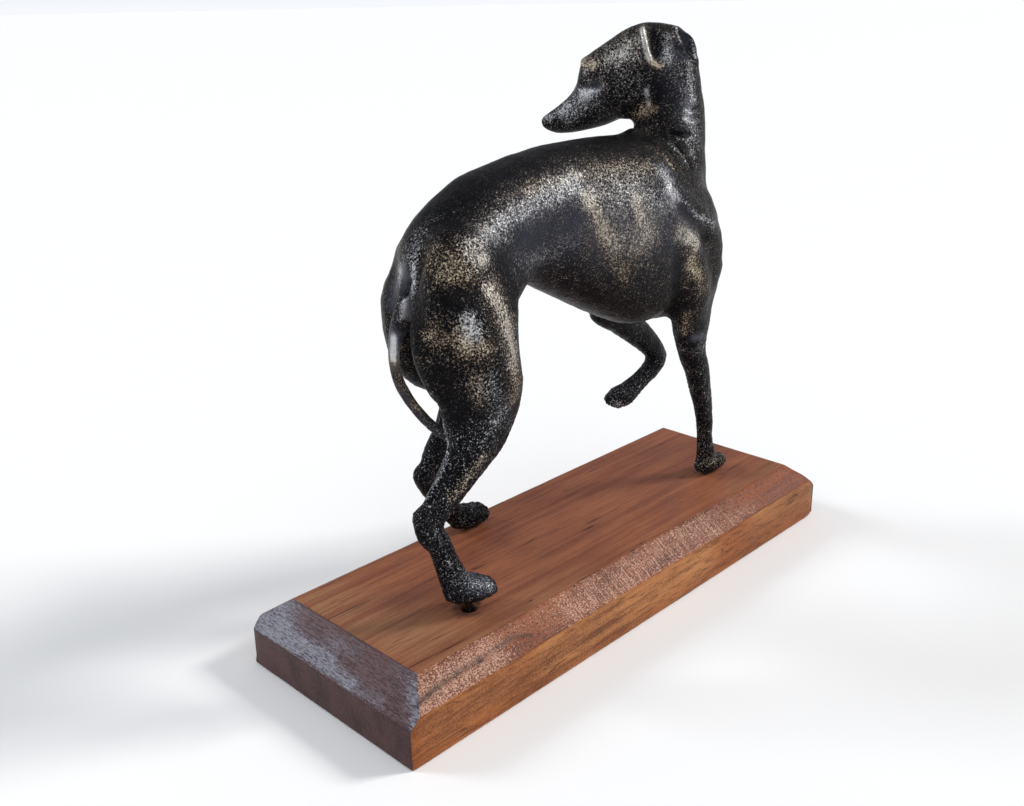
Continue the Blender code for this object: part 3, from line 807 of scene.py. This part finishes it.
# Patina, painted sheen and painted shade on the flank that the camera sees, repeated on the other one
FLANK_PATINA_SHEEN_AND_SHADE: dict[Channel, tuple[Stroke, ...]] = {
    Channel.GOLD: (
        (0.24, 3.2, ((22.1, -16.3, 127.3), (4.9, -13.5, 129), (-12.9, -12.3, 128.2), (-30.7, -12.1, 126.5))),
        (0.16, 3.2, ((-30.7, -12.1, 126.5), (-43.4, -12.1, 122.9), (-53.8, -14.3, 118.4))),
        (0.16, 8, ((-2.4, -15.5, 122), (12.3, -17.9, 122.5), (10.9, -20.1, 112), (-3.5, -17.5, 110))),
        (0.55, 2.6, ((-8.5, -15.6, 121), (-4.5, -17, 114), (-2, -18, 108))),
        (0.4, 2.2, ((10.9, -20.1, 117.5), (11.6, -20.4, 112))),
        (0.3, 6, ((1.8, -18.2, 103.1), (7.6, -18.3, 95.5), (16, -21.7, 106.2))),
        (0.6, 3.2, ((30.3, -24.1, 105.2), (39.4, -24.1, 99.7))),
        (0.75, 2.8, ((37.7, -22.7, 93.5), (43.7, -22.6, 88.1), (48, -18.4, 80.8))),
        (0.6, 2.5, ((46.5, -17, 74), (46.3, -15.4, 65.7))),
        (0.55, 3, ((-69.9, -16.5, 107.2), (-65.2, -19.3, 107.4))),
        (0.35, 5, ((-70, -10.7, 110.9), (-67, -15.7, 112.2))),
        (0.6, 3.2, HIP),
        (0.6, 3.2, ((-68.5, -23.4, 86.9), (-63.6, -25.5, 86.7))),
        (0.45, 4, ((-74.7, -13.8, 91.4), (-70.9, -21.3, 91.1))),
        (0.55, 3.6, (
            (-57.6, -21.6, 102.2), (-53.1, -24.1, 91.4), (-51.7, -24.9, 80.7), (-50.7, -24.4, 69.5),
        )),
        (0.35, 2.2, ((-67, -23.9, 79.8), (-64.5, -24, 70))),
        (0.6, 1.8, ((-62.9, -22.7, 52.6), (-68.6, -21.6, 47.7), (-73.6, -20.4, 42.7))),
    ),
    Channel.SILVER: (
        # Painted sheen along the flank's top, over the rubbed grains
        (0.71, 4.5, ((-12.9, -13, 125.5), (-30.7, -13.5, 121.5), (-43.4, -14, 118.5), (-53.8, -15.5, 115))),
        (0.46, 8.5, ((-4.4, -15.5, 121), (12.3, -17.9, 120.5), (22, -19, 115))),
        (0.3, 7, ((2, -18, 108), (14, -20, 106))),
        (0.6, 3.8, SHOULDER),
        (0.6, 1.3, ((30.8, -21.6, 116.6), (41, -22.1, 109.1), (53.6, -21.2, 104))),
        (0.5, 3.5, ((30.3, -24.1, 105.2), (39.4, -24.1, 101))),
        (0.65, 3.2, HIP),
        (0.9, 2.8, ((-67.7, -23, 96.5), (-66.5, -24.3, 92))),
        (0.3, 4, ((-62.2, -25.4, 75.9), (-57.2, -24.1, 66))),
        (0.35, 3.6, ((-57.6, -21.6, 102.2), (-53.1, -24.1, 91.4), (-51.7, -24.9, 80.7))),
        (0.3, 4.5, ((-38.4, -15.1, 107), (-26.8, -13, 104.7), (-14.9, -14.9, 108))),
        (0.25, 4, ((-57.2, -24.1, 63.3), (-64, -22.4, 58.6))),
        (0.45, 0.6, PASTERN),
        # Painted glints over the right hind toes
        (0.5, 3, ((-69.8, -19.6, 13.4), (-64, -21, 10), (-60, -21, 8))),
        (0.6, 1.1, ((-60.6, -21.6, 10.6), (-58.4, -21.8, 9))),
    ),
    Channel.BLACK: (
        (0.95, 5.5, ((30, -7, 134), (5.4, -6, 135.5), (-11, -4, 136), (-27.5, -4, 133.5))),
        (0.95, 5.5, ((-27.5, -4, 133.5), (-41.8, -4, 129.5), (-53.7, -4.1, 123.7), (-60, -7, 119.5))),
        (0.8, 4.5, ((-70.6, -19.1, 101.6), (-66, -21.5, 102))),
        (0.8, 3.5, ((-74.5, -10, 98), (-75, -9, 88), (-74, -9.5, 78))),
        (0.9, 1.7, ((32.5, -21.4, 112.6), (42, -20.5, 106), (51.3, -19.6, 99.2))),
        (0.9, 2.3, ((31, -21.7, 94.5), (34.7, -20.6, 85.6), (43.1, -13.8, 73.6))),
        # Painted shade under the chest and belly
        (0.5, 6, ((-10.2, -10, 92.6), (7, -12.6, 84.5), (20.9, -14.6, 79.2))),
        (0.75, 4.5, ((-71.8, -18, 78.5), (-70, -18.5, 66.6))),
        (0.6, 4, ((-50, -17, 108), (-46, -16.5, 100))),
        (0.5, 3, ((-38, -16, 113), (-30, -15, 111))),
        (0.3, 11, ((26, -21.5, 108), (8, -20, 110), (-12, -15, 114), (-38, -15, 112))),
    ),
    Channel.SMOOTH: (
        (0.38, 12, ((26, -21.5, 108), (8, -20, 108), (-12, -15, 114), (-34, -15, 114))),
    ),
}

# Patina and painted highlights on the head, repeated on its other side
HEAD_PATINA_AND_HIGHLIGHTS: dict[Channel, tuple[Stroke, ...]] = {
    Channel.GOLD: (
        (0.8, 1.7, ((33.6, 23.1, 158.3), (31.6, 17, 157.6))),
        (0.26, 6, ((32.7, 13.3, 158.5), (35, 9.6, 161.8), (37.4, 4.2, 163.7))),
        (0.75, 2.2, ((42, 3.7, 141), (42.4, -1.9, 144))),
        (0.5, 1.5, ((39.6, -4.7, 158.3),)),
    ),
    Channel.SILVER: (
        (0.34, 5, ((35, 9.6, 161.8), (37.4, 4.2, 163.7))),
        (0.24, 7, ((36, 11, 155), (38.5, 5, 153))),
        (0.32, 5.5, ((32, 19, 147), (30, 27, 142))),
        (0.8, 1.5, ((35.9, 6.4, 161.8),)),
        (0.5, 2.3, CHEEK),
        # Painted highlight on the nose's tip
        (1, 1.5, ((27.8, 34.6, 139.4),)),
        (0.9, 0.8, ((40.9, 0.6, 149.3), (42, 0.4, 145))),
        (0.5, 1.2, ((31.2, 19, 155.2),)),
    ),
    Channel.BLACK: (
        (0.9, 1.5, ((31.2, 18.8, 150.8), (32.5, 15, 151))),
        (0.8, 2.5, ((42.5, -3.5, 150), (43, -3, 146))),
    ),
}

# Patina, painted highlights and a painted reflection of the ears, neck, rump, tail and single places
SINGLE_PATINA_AND_HIGHLIGHTS: dict[Channel, tuple[Stroke, ...]] = {
    Channel.GOLD: (
        (0.55, 0.7, ((31.6, -10.6, 132.6), (32.6, -14, 129.2), (33.6, -17.6, 124.9))),
        (0.14, 7, ((53, -15, 50), (58, -14, 38), (62, -13, 25), (66, -13, 12))),
        (0.6, 1, LEFT_EAR_RIM),
        (0.6, 1, LEFT_EAR_LOBE),
        (0.32, 1.8, ((-70.8, -2.8, 66.2), (-68, -6, 61.2), (-65.5, -11, 57.5))),
        (0.36, 1.8, ((-76, 0, 81), (-74.4, -0.4, 74), (-70.8, -2.8, 66.2))),
        (0.4, 2.5, ((66, -13, 6), (72, -14, 5), (80, -12, 4))),
    ),
    Channel.SILVER: (
        (1, 1.1, LEFT_EAR_RIM),
        (1, 0.6, RIGHT_EAR_RIM),
        (0.75, 0.9, EAR_FLAP),
        (0.55, 2.2, ((44.6, -4.9, 166.1), (43.2, -5.8, 159.7))),
        # Painted reflection down the neck's right edge
        (0.54, 2, ((52, -9.4, 158), (54.4, -9.9, 145.5))),
        (0.3, 4.5, ((44, -6.4, 159), (48, -8, 152), (50, -9, 146))),
        (0.3, 1.5, ((28.3, 33, 139.5), (30.5, 27, 143))),
        # Painted highlights on the neck's folds
        (0.45, 3.2, ((49.5, -9.8, 141), (53, -11.2, 137.5), (53, -12.4, 132))),
        (0.3, 0.8, UPPER_WRINKLE),
        (0.3, 0.8, LOWER_WRINKLE),
        (0.7, 0.7, ((39.6, -8.4, 133.7), (41.3, -12.7, 129.8), (42.7, -17, 124.8))),
        (0.6, 1.2, ((48, -12.6, 132), (49.5, -14.6, 127))),
        (0.55, 0.7, CREASE_EDGE),
        (0.45, 1.4, RUMP_RIDGE),
        (0.35, 3.6, ((-57.5, -1, 121.5), (-63, 0, 116.5), (-67, 1, 110))),
        (0.35, 4, ((-69, 5, 104), (-70, 6, 96), (-70.5, 6, 90))),
        (0.8, 0.8, ((-68.6, -2, 108.5), (-70.2, -3, 104.5), (-71.4, -4.2, 100.5))),
        (0.3, 1.8, ((-68.1, 4.8, 106), (-69.5, 4, 103.5))),
        (0.25, 1.6, ((-72.5, -0.7, 98.7), (-73.2, -1.2, 96))),
        (0.55, 1.1, TAIL_RIDGE),
        # Painted highlight on the tail's upper part
        (1, 1.6, ((-76.6, -0.4, 88.5), (-76.4, -0.5, 82.5))),
        (0.8, 0.7, THIGH_SEAM),
        (0.8, 0.7, HOCK_SEAM),
        (0.9, 0.7, ((49.9, -11.4, 56.8), (53.5, -15.8, 57.4), (57.7, -16.6, 56.8))),
        (1, 1.7, ((39.8, 11.5, 32), (46, 10.5, 29.5))),
        # Painted highlight on the raised wrist
        (0.5, 2, ((68.5, 10.5, 47), (70.5, 11.5, 43))),
    ),
    Channel.BLACK: (
        (0.6, 1.8, ((42.6, -1.6, 166), (42.2, -3, 161.5))),
        (1, 1.4, RIGHT_EAR_HOLLOW),
        (0.8, 1.4, NAPE_FOLD),
        (0.6, 3, ((43.5, -6.4, 152), (46.5, -7.4, 147), (47.5, -8.5, 143))),
        (1, 0.9, NECK_CREASE),
        (1, 1.2, TORN_HOLE),
        (0.85, 3, ((36.5, -8, 134), (44, -8, 135))),
        (0.8, 3, ((56, -14, 124), (58, -14.5, 116))),
        (0.85, 7.5, ((40, 13, 72), (52, 13, 66), (62, 12.5, 56), (67, 12, 48))),
        (0.45, 7, ((53, -15, 50), (58, -14, 38), (62, -13, 25))),
    ),
}

# Places where the lacquer lies smooth and shines, and where the iron takes its painted bluish reflection
SMOOTH_PLACES: tuple[Stroke, ...] = (
    (0.75, 1.2, LEFT_EAR_RIM),
    (0.45, 1.4, RIGHT_EAR_HOLLOW),
    (0.35, 1.6, NAPE_FOLD),
    (0.8, 0.9, ((40.9, 0.6, 149.5), (42, 0.4, 144.5))),
    (0.2, 6, ((44.5, -6.4, 158), (47.5, -7.8, 151), (49, -9, 144))),
    (0.35, 3, ((51, -9.6, 143), (52, -10.8, 138))),
    (1, 3.4, ((-75.5, 1, 88), (-75.3, 0.7, 80))),
    (0.5, 2.6, ((-74.9, 0.4, 72), (-70.4, -1.4, 65.2), (-66, -8, 57.3))),
    (0.9, 2.4, ((-68.1, 4.8, 106), (-69.4, 1, 105.4), (-70.8, -0.5, 102))),
    (0.8, 2.4, ((-67.3, 9, 100), (-67.6, 10, 94))),
    (0.9, 1.8, ((-72.4, -2, 97.5), (-72.8, -2.6, 95))),
    (0.9, 1.6, ((50.5, -17.2, 62.3), (53.5, -18, 62))),
    (0.5, 2.4, CHEEK),
    (0.5, 2.5, ((68.5, 12, 47),)),
    (0.3, 3, SHOULDER),
    (0.4, 4, ((-66, -21, 11), (-60, -21.5, 8.5))),
)

# Marks on the board's faces, on the figure's grid
BOARD_MARKS: dict[Wear, tuple[Stroke, ...]] = {
    Wear.FROST_AND_SHEEN: (
        # Right long chamfer, rough and pale but for its far end
        (1, 9.5, ((-104, -36, -4), (-74, -35.5, -4))),
        (0.35, 5, ((-60, -32.5, -2), (-52, -32.5, -2))),
        (0.74, 11, ((-38, -35.5, -4), (20, -35.5, -4), (38, -35.5, -4))),
        (0.55, 3.4, ((52, -37.5, -5.4), (66, -37.5, -5.4))),
        # Left long chamfer, in keeping with it
        (1, 11, ((-100, 35.5, -4), (60, 35.5, -4))),
        # Rear end's chamfer, silvered low down and at its left: bare wood and a painted reflection
        (1, 2.6, ((-108.6, 36.5, -9), (-108.2, 22, -8.6), (-108, 0, -8.4), (-108.4, -10, -8.8))),
        (0.55, 2.6, ((-108.4, -12, -8.8), (-108.4, -24, -8.8))),
        (0.75, 3, ((-106, 36.5, -6), (-106.4, 16, -6.4), (-106.4, 2, -6.4))),
        (0.45, 2.2, ((-103, 6, -3.2), (-102.6, -6, -2.8))),
        (-0.55, 3.5, ((-106.5, -28, -5), (-108, -34, -8))),
        # Fore end's chamfer
        (0.6, 3, ((107, -30, -7), (107, 30, -7))),
        # Worn corner between the chamfers
        (0.6, 1.2, ((-104, -34, -2), (-107, -38, -6), (-109, -39.4, -9))),
    ),
    Wear.STAIN: (
        (0.9, 0.9, ((-108, -37, -5.2), (-95, -35.4, -3.9), (-86, -35, -3.6), (-78.8, -35.1, -3.7))),
        (0.7, 0.9, ((-78.8, -35.1, -3.7), (-64, -34.3, -3.2), (-58, -36, -4.6))),
        (0.4, 7, ((-77, 4, -0.3), (-64, -1, -0.3))),
        (0.25, 12, ((72, 14, -0.3), (96, 2, -0.3))),
        (0.16, 9, ((62, -39.5, -14), (105, -39.5, -14))),
        (0.8, 1.2, ((-60.5, -15.8, -0.3), (-61.7, -12.6, -0.3), (-64.7, -11.4, -0.3), (-68, -13, -0.3))),
        (0.8, 1.2, ((-69, -15.8, -0.3), (-67.6, -18.8, -0.3), (-64.7, -20, -0.3))),
    ),
    Wear.WARM: (
        (0.9, 15, ((-94, 24, -0.3), (-92, 0, -0.3), (-86, -26, -0.3))),
        (0.6, 10, ((-70, -30, -0.3), (-30, -30, -0.3))),
        (0.4, 7, ((-100, -39.5, -14), (-60, -39.5, -14))),
        (0.95, 9, ((-50, -39.5, -14), (30, -39.5, -12))),
        (1, 10, ((70, -36, -4.5), (108, -36, -4.5))),
    ),
    Wear.RIPPLE: (
        (1, 9, ((-30, -35.5, -4), (52, -35.5, -4))),
        (0.3, 9, ((-100, -35.5, -4), (-40, -35.5, -4))),
        (0.7, 4.6, ((-60, 35.5, -4), (60, 35.5, -4))),
    ),
}

# Places where the board's edges are worn away, or cracked
BOARD_CARVING: tuple[Stroke, ...] = (
    (-0.9, 3, ((110, -39.5, -6), (110, -39.5, -23.3))),
    (-0.5, 2.4, ((104, -34, -0.3), (106, -31, -0.3))),
    (-0.45, 2.5, ((70, -39.5, -6.8), (106, -39.5, -6.8))),
    (-0.35, 0.9, ((-95, -35.4, -3.9), (-86, -35, -3.6), (-78.8, -35.1, -3.7), (-64, -35.3, -3.8))),
    (-0.5, 2, ((-110, 39.5, -9), (-110, 39.5, -20))),
    (-0.3, 3, ((-50, -39.5, -6.8), (-38, -39.5, -6.8))),
    (0.35, 1, ((-60.8, -16.4, -0.3), (-61.2, -13.6, -0.3), (-63.4, -12, -0.3), (-66.6, -12.4, -0.3))),
    (-0.3, 1.2, ((-110, -39.5, -8), (-110, -39.5, -22))),
)


@dataclass
class Greyhound:
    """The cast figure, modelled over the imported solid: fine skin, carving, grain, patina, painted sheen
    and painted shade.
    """

    cell: float = 0.44 * MM
    smoothing: int = 10
    triangles: int = 190_000
    # Each roughening: its name, grain size, depth and the vertex group that takes it
    grains: tuple[tuple[str, float, float, str], ...] = (
        ("hand", 6 * MM, 0.35 * MM, ""),
        ("sand", 1.0 * MM, 0.07 * MM, ""),
        ("lumps", 0.9 * MM, 0.38 * MM, "rough"),
        ("knobs", 1.5 * MM, 0.9 * MM, "paws"),
    )
    # The texture's value that leaves the skin where it is
    grain_level: float = 0.55
    # Heights on the figure's grid where the coarse legs and the knobbly paws end, and over how much
    leg_top: float = 78
    leg_fade: float = 20
    paw_top: float = 15
    paw_fade: float = 6
    tail_width: float = 3.5
    raised_paw_width: float = 6
    # The rubbing all over, and how it changes towards the legs
    base_gold: float = 0.11
    leg_gold_loss: float = 0.8
    base_silver: float = 0.05
    leg_silver: float = 0.10
    finish: BlackenedIron = field(default_factory=BlackenedIron)

    def build(self) -> bpy.types.Object:
        """Model the figure and dress it.

        Returns:
            The finished dog.
        """
        dog = copy_of_node(Node.DOG, "greyhound")
        modify(dog, "REMESH", mode="VOXEL", voxel_size=self.cell, adaptivity=0)
        modify(dog, "SMOOTH", factor=SMOOTH_FACTOR, iterations=self.smoothing)
        clay = Clay(dog)
        self.carve(clay)
        self.weigh(clay)
        for grain in self.grains:
            self.roughen(dog, *grain)
        count = sum(len(face.vertices) - 2 for face in dog.data.polygons)
        log.info("greyhound: %d triangles before they are thinned", count)
        modify(dog, "DECIMATE", ratio=min(self.triangles / count, 1))
        dog.vertex_groups.clear()
        dog.data.shade_smooth()
        self.paint(Clay(dog))
        dog.data.materials.append(self.finish.material())
        declare(dog, Node.DOG)
        return dog

    def carve(self, clay: Clay) -> None:
        """Carve the eyes, mouth, ears, folds, torn hole, parting line, tendons and toes.

        Args:
            clay: The figure's skin.
        """
        head = HEAD_CARVING + across_head(HEAD_CARVING)
        clay.carve(head + EAR_CARVING + NECK_CARVING + RUMP_CARVING)
        clay.carve(LEG_CARVING + TOE_CARVING)

    def leg_share(self, clay: Clay) -> np.ndarray:
        """Return how fully each point belongs to the coarse legs, from 0 to 1."""
        return np.clip((self.leg_top - clay.points[:, 2]) / self.leg_fade, 0, 1)

    def weigh(self, clay: Clay) -> None:
        """Mark where the casting is coarse and where it is knobbly.

        Args:
            clay: The figure's skin.
        """
        height = clay.points[:, 2]
        tail = np.zeros(len(height))
        found, share = clay.near(TAIL_PATH, self.tail_width)
        tail[found] = share
        legs = self.leg_share(clay) * (1 - tail)
        paws = np.clip((self.paw_top - height) / self.paw_fade, 0, 1)
        found, share = clay.near(RAISED_PAW, self.raised_paw_width)
        paws[found] = np.maximum(paws[found], share)
        clay.group("rough", legs)
        clay.group("paws", paws)

    def roughen(
        self, dog: bpy.types.Object, name: str, size: float, depth: float, group: str
    ) -> None:
        """Roughen the skin as a sand mould does.

        Args:
            dog: The figure.
            name: The texture's name.
            size: The grains' size in metres.
            depth: How far they stand out in metres.
            group: The vertex group that takes them, or none.
        """
        grains = bpy.data.textures.new(name, "CLOUDS")
        grains.noise_scale = size
        grains.noise_depth = 1
        settings = {"strength": depth, "mid_level": self.grain_level, "vertex_group": group}
        modify(dog, "DISPLACE", texture=grains, **settings)

    def paint(self, clay: Clay) -> None:
        """Lay the layers of patina, painted sheen and painted shade into the skin's attribute.

        Args:
            clay: The figure's skin.
        """
        legs = self.leg_share(clay)
        layers = clay.blank()
        layers[:, Channel.GOLD.value] = self.base_gold * (1 - self.leg_gold_loss * legs)
        layers[:, Channel.SILVER.value] = self.base_silver + self.leg_silver * legs
        clay.layered(layers, SINGLE_PATINA_AND_HIGHLIGHTS)
        for patina, across in ((HEAD_PATINA_AND_HIGHLIGHTS, across_head), (FLANK_PATINA_SHEEN_AND_SHADE, across_dog)):
            clay.layered(layers, patina)
            clay.layered(layers, {channel: across(strokes) for channel, strokes in patina.items()})
        clay.layered(layers, {Channel.SMOOTH: SMOOTH_PLACES})
        clay.keep("patina", layers)


@dataclass
class Board:
    """The chamfered wooden base, each face with its own cut of wood."""

    slice_along: float = 1.5 * MM
    slice_across: float = 1.0 * MM
    softening: int = 2
    warp_size: float = 9 * MM
    warp_depth: float = 0.16 * MM
    # The warp only ever wears wood away
    warp_level: float = 1.0
    flatness: float = math.radians(1)
    # How far up a flat face and a chamfer look, as the normal's rise
    flat_rise: float = 0.95
    chamfer_rise: float = 0.35
    cuts: tuple[VarnishedWood, ...] = (
        VarnishedWood(
            WoodCut.TOP, (0.305, 0.108, 0.052), (0.185, 0.058, 0.032), (0.300, 0.152, 0.076),
            dust=0.5,
        ),
        VarnishedWood(
            WoodCut.LONG_SIDE, (0.362, 0.114, 0.029), (0.155, 0.047, 0.018), (0.510, 0.222, 0.080),
            run=(16, 1, 1.2), fibre=0.6 * MM, fibre_run=(12, 1, 1), pore_share=0.75, line_share=0.6,
            dust=0.6,
        ),
        VarnishedWood(
            WoodCut.LONG_CHAMFER, (0.250, 0.086, 0.042), (0.1, 0.031, 0.019), (0.285, 0.062, 0.006),
            bleach=0.60, frost_share=0.75, frost_grain=0.44 * MM, dust=0.8,
            run=(14, 1, 1), fibre=0.6 * MM, fibre_run=(1.4, 1, 1), pore_share=0.9, line_share=0.3,
        ),
        # The rear chamfer's silvery frost and bare colour are partly a painted reflection
        VarnishedWood(
            WoodCut.END_CHAMFER, (0.118, 0.052, 0.054), (0.062, 0.03, 0.032), (0.118, 0.052, 0.054),
            frost_and_sheen=(0.34, 0.35, 0.41), bare_and_sheen=(0.185, 0.180, 0.215), bleach=0.9, frost_share=0.6,
            run=(1, 14, 1), band=0.7 * MM, fibre=0.34 * MM, fibre_run=(1, 8, 1), pore_share=0.9,
            line_share=0.4, frost_grain=0.30 * MM, frost_run=(1, 6, 1), dust=0.9, roughness=0.38,
        ),
        VarnishedWood(
            WoodCut.END, (0.104, 0.048, 0.047), (0.042, 0.021, 0.021), (0.104, 0.048, 0.047),
            frost_and_sheen=(0.2, 0.17, 0.18), run=(1, 3, 5), fibre=0.45 * MM, fibre_run=(1, 1.5, 1),
            pore_share=0.8, line_share=0.3, dust=0.9, roughness=0.42,
        ),
        VarnishedWood(
            WoodCut.UNDERSIDE, (0.300, 0.140, 0.080), (0.130, 0.050, 0.030), (0.3, 0.14, 0.08),
            roughness=0.6,
        ),
    )

    def build(self) -> bpy.types.Object:
        """Model the board and dress it.

        Returns:
            The finished board.
        """
        board = copy_of_node(Node.BOARD, "board")
        self.slice(board)
        for cut in self.cuts:
            board.data.materials.append(cut.material())
        for face in board.data.polygons:
            face.material_index = self.cut_at(face.normal).value
        modify(board, "SMOOTH", factor=SMOOTH_FACTOR, iterations=self.softening)
        warp = bpy.data.textures.new("warp", "CLOUDS")
        warp.noise_scale = self.warp_size
        modify(board, "DISPLACE", texture=warp, strength=self.warp_depth, mid_level=self.warp_level)
        clay = Clay(board)
        clay.carve(BOARD_CARVING)
        layers = clay.blank()
        clay.layered(layers, BOARD_MARKS)
        clay.keep("wear", layers)
        board.data.shade_smooth()
        declare(board, Node.BOARD)
        return board

    def slice(self, board: bpy.types.Object) -> None:
        """Slice the board's faces into small cells, so that they can be worn and marked.

        Args:
            board: The board's copy, with flat faces.
        """
        low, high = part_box(Node.BOARD.value)
        select_only(board)
        bpy.ops.object.mode_set(mode="EDIT")
        bpy.ops.mesh.select_all(action="SELECT")
        bpy.ops.mesh.dissolve_limited(angle_limit=self.flatness)
        for axis, pitch in enumerate((self.slice_along, self.slice_across, self.slice_across)):
            normal = Vector([float(axis == other) for other in range(3)])
            count = round((high[axis] - low[axis]) / pitch)
            for number in range(1, count):
                place = low[axis] + (high[axis] - low[axis]) * number / count
                bpy.ops.mesh.select_all(action="SELECT")
                bpy.ops.mesh.bisect(plane_co=normal * place, plane_no=normal)
        bpy.ops.object.mode_set(mode="OBJECT")

    def cut_at(self, normal: Vector) -> WoodCut:
        """Tell which cut a face belongs to.

        Args:
            normal: The face's normal.

        Returns:
            The face's cut.
        """
        if abs(normal.z) > self.flat_rise:
            return WoodCut.TOP if normal.z > 0 else WoodCut.UNDERSIDE
        if abs(normal.x) > abs(normal.y):
            return WoodCut.END_CHAMFER if normal.z > self.chamfer_rise else WoodCut.END
        return WoodCut.LONG_CHAMFER if normal.z > self.chamfer_rise else WoodCut.LONG_SIDE


@dataclass
class Stud:
    """The bare metal pin between the right hind paw and the board."""

    finish: DarkSteel = field(default_factory=DarkSteel)

    def build(self) -> bpy.types.Object:
        """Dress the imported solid, whose shape is right, with dark steel.

        Returns:
            The pin.
        """
        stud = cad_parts[Node.STUD.value]
        steel = self.finish.material()
        for slot in stud.material_slots:
            slot.material = steel
        log.info("%s: dressed in dark steel", stud.name)
        return stud


@dataclass
class Studio:
    """A plain pale floor, soft light and the camera at the photograph's angle."""

    camera_place: Place = (-0.26317, -0.23241, 0.20173)
    yaw: float = 44.623
    pitch: float = -20.553
    roll: float = -1.061
    focal_length: float = 37.642
    floor_size: float = 120.0
    floor_drop: float = 0.1 * MM
    floor_colour: Colour = (0.95, 0.95, 0.95)
    # Each far, wide light: name, direction from the statue, how wide it looks, strength and colour
    lights: tuple[tuple[str, Place, float, float, Colour], ...] = (
        ("window", (0.70, -0.45, 0.62), 14.0, 2.0, (1.0, 0.98, 0.95)),
        ("sky", (-0.49, 0.69, 0.53), 18.0, 1.1, (0.88, 0.94, 1.0)),
        ("overhead", (-0.2, -0.35, 1.0), 50.0, 0.6, (1.0, 1.0, 1.0)),
    )
    sky_colour: Colour = (0.93, 0.95, 1.0)
    sky_strength: float = 0.36
    # How high above the horizon the white sweep behind the floor reaches, as the direction's rise
    haze_top: float = 0.12

    def build(self) -> None:
        """Lay the floor, hang the lights and set up the camera."""
        self.lay_floor()
        self.hang_lights()
        self.set_up_camera()

    def lay_floor(self) -> None:
        """Lay a wide pale floor under the board."""
        bpy.ops.object.select_all(action="DESELECT")
        bpy.ops.mesh.primitive_plane_add(size=self.floor_size, location=(0, 0, -self.floor_drop))
        floor = bpy.context.active_object
        floor.name = "floor"
        graph = Graph("pale_floor")
        floor.data.materials.append(graph.finish(Base_Color=self.floor_colour, Roughness=1.0))
        log.info("floor: %.1f m wide", self.floor_size)

    def hang_lights(self) -> None:
        """Hang the soft lights round the statue and light the surroundings."""
        world = bpy.data.worlds.new("studio")
        world.use_nodes = True
        nodes, links = world.node_tree.nodes, world.node_tree.links
        sky = nodes["Background"]
        sky.inputs["Color"].default_value = (*self.sky_colour, 1)
        split = nodes.new("ShaderNodeSeparateXYZ")
        links.new(nodes.new("ShaderNodeTexCoord").outputs["Generated"], split.inputs["Vector"])
        fade = nodes.new("ShaderNodeMapRange")
        fade.inputs["From Max"].default_value = self.haze_top
        fade.inputs["To Min"].default_value = 1.0
        fade.inputs["To Max"].default_value = self.sky_strength
        links.new(split.outputs["Z"], fade.inputs["Value"])
        links.new(fade.outputs["Result"], sky.inputs["Strength"])
        bpy.context.scene.world = world
        for name, direction, width, strength, colour in self.lights:
            data = bpy.data.lights.new(name, "SUN")
            data.angle = math.radians(width)
            data.energy = strength
            data.color = colour
            light = bpy.data.objects.new(name, data)
            bpy.context.scene.collection.objects.link(light)
            light.rotation_euler = Vector(direction).to_track_quat("Z", "Y").to_euler()
            log.info("%s: %.1f W/m2", name, strength)

    def set_up_camera(self) -> None:
        """Place the camera where the photograph was taken from, with plain contrast."""
        bpy.context.scene.view_settings.view_transform = "Standard"
        data = bpy.data.cameras.new("camera")
        data.lens = self.focal_length
        camera = bpy.data.objects.new("camera", data)
        bpy.context.scene.collection.objects.link(camera)
        turn = Matrix.Rotation(math.radians(self.yaw - 90), 4, "Z")
        tilt = Matrix.Rotation(math.radians(self.pitch + 90), 4, "X")
        lean = Matrix.Rotation(math.radians(self.roll), 4, "Z")
        camera.matrix_world = Matrix.Translation(self.camera_place) @ turn @ tilt @ lean
        bpy.context.scene.camera = camera
        log.info("camera: %.1f mm lens", self.focal_length)


def main() -> None:
    """Build the statue and its studio."""
    logging.basicConfig(level=logging.INFO, format="%(name)s: %(message)s")
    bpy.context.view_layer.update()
    Board().build()
    Stud().build()
    Greyhound().build()
    Studio().build()


if __name__ == "__main__":
    main()
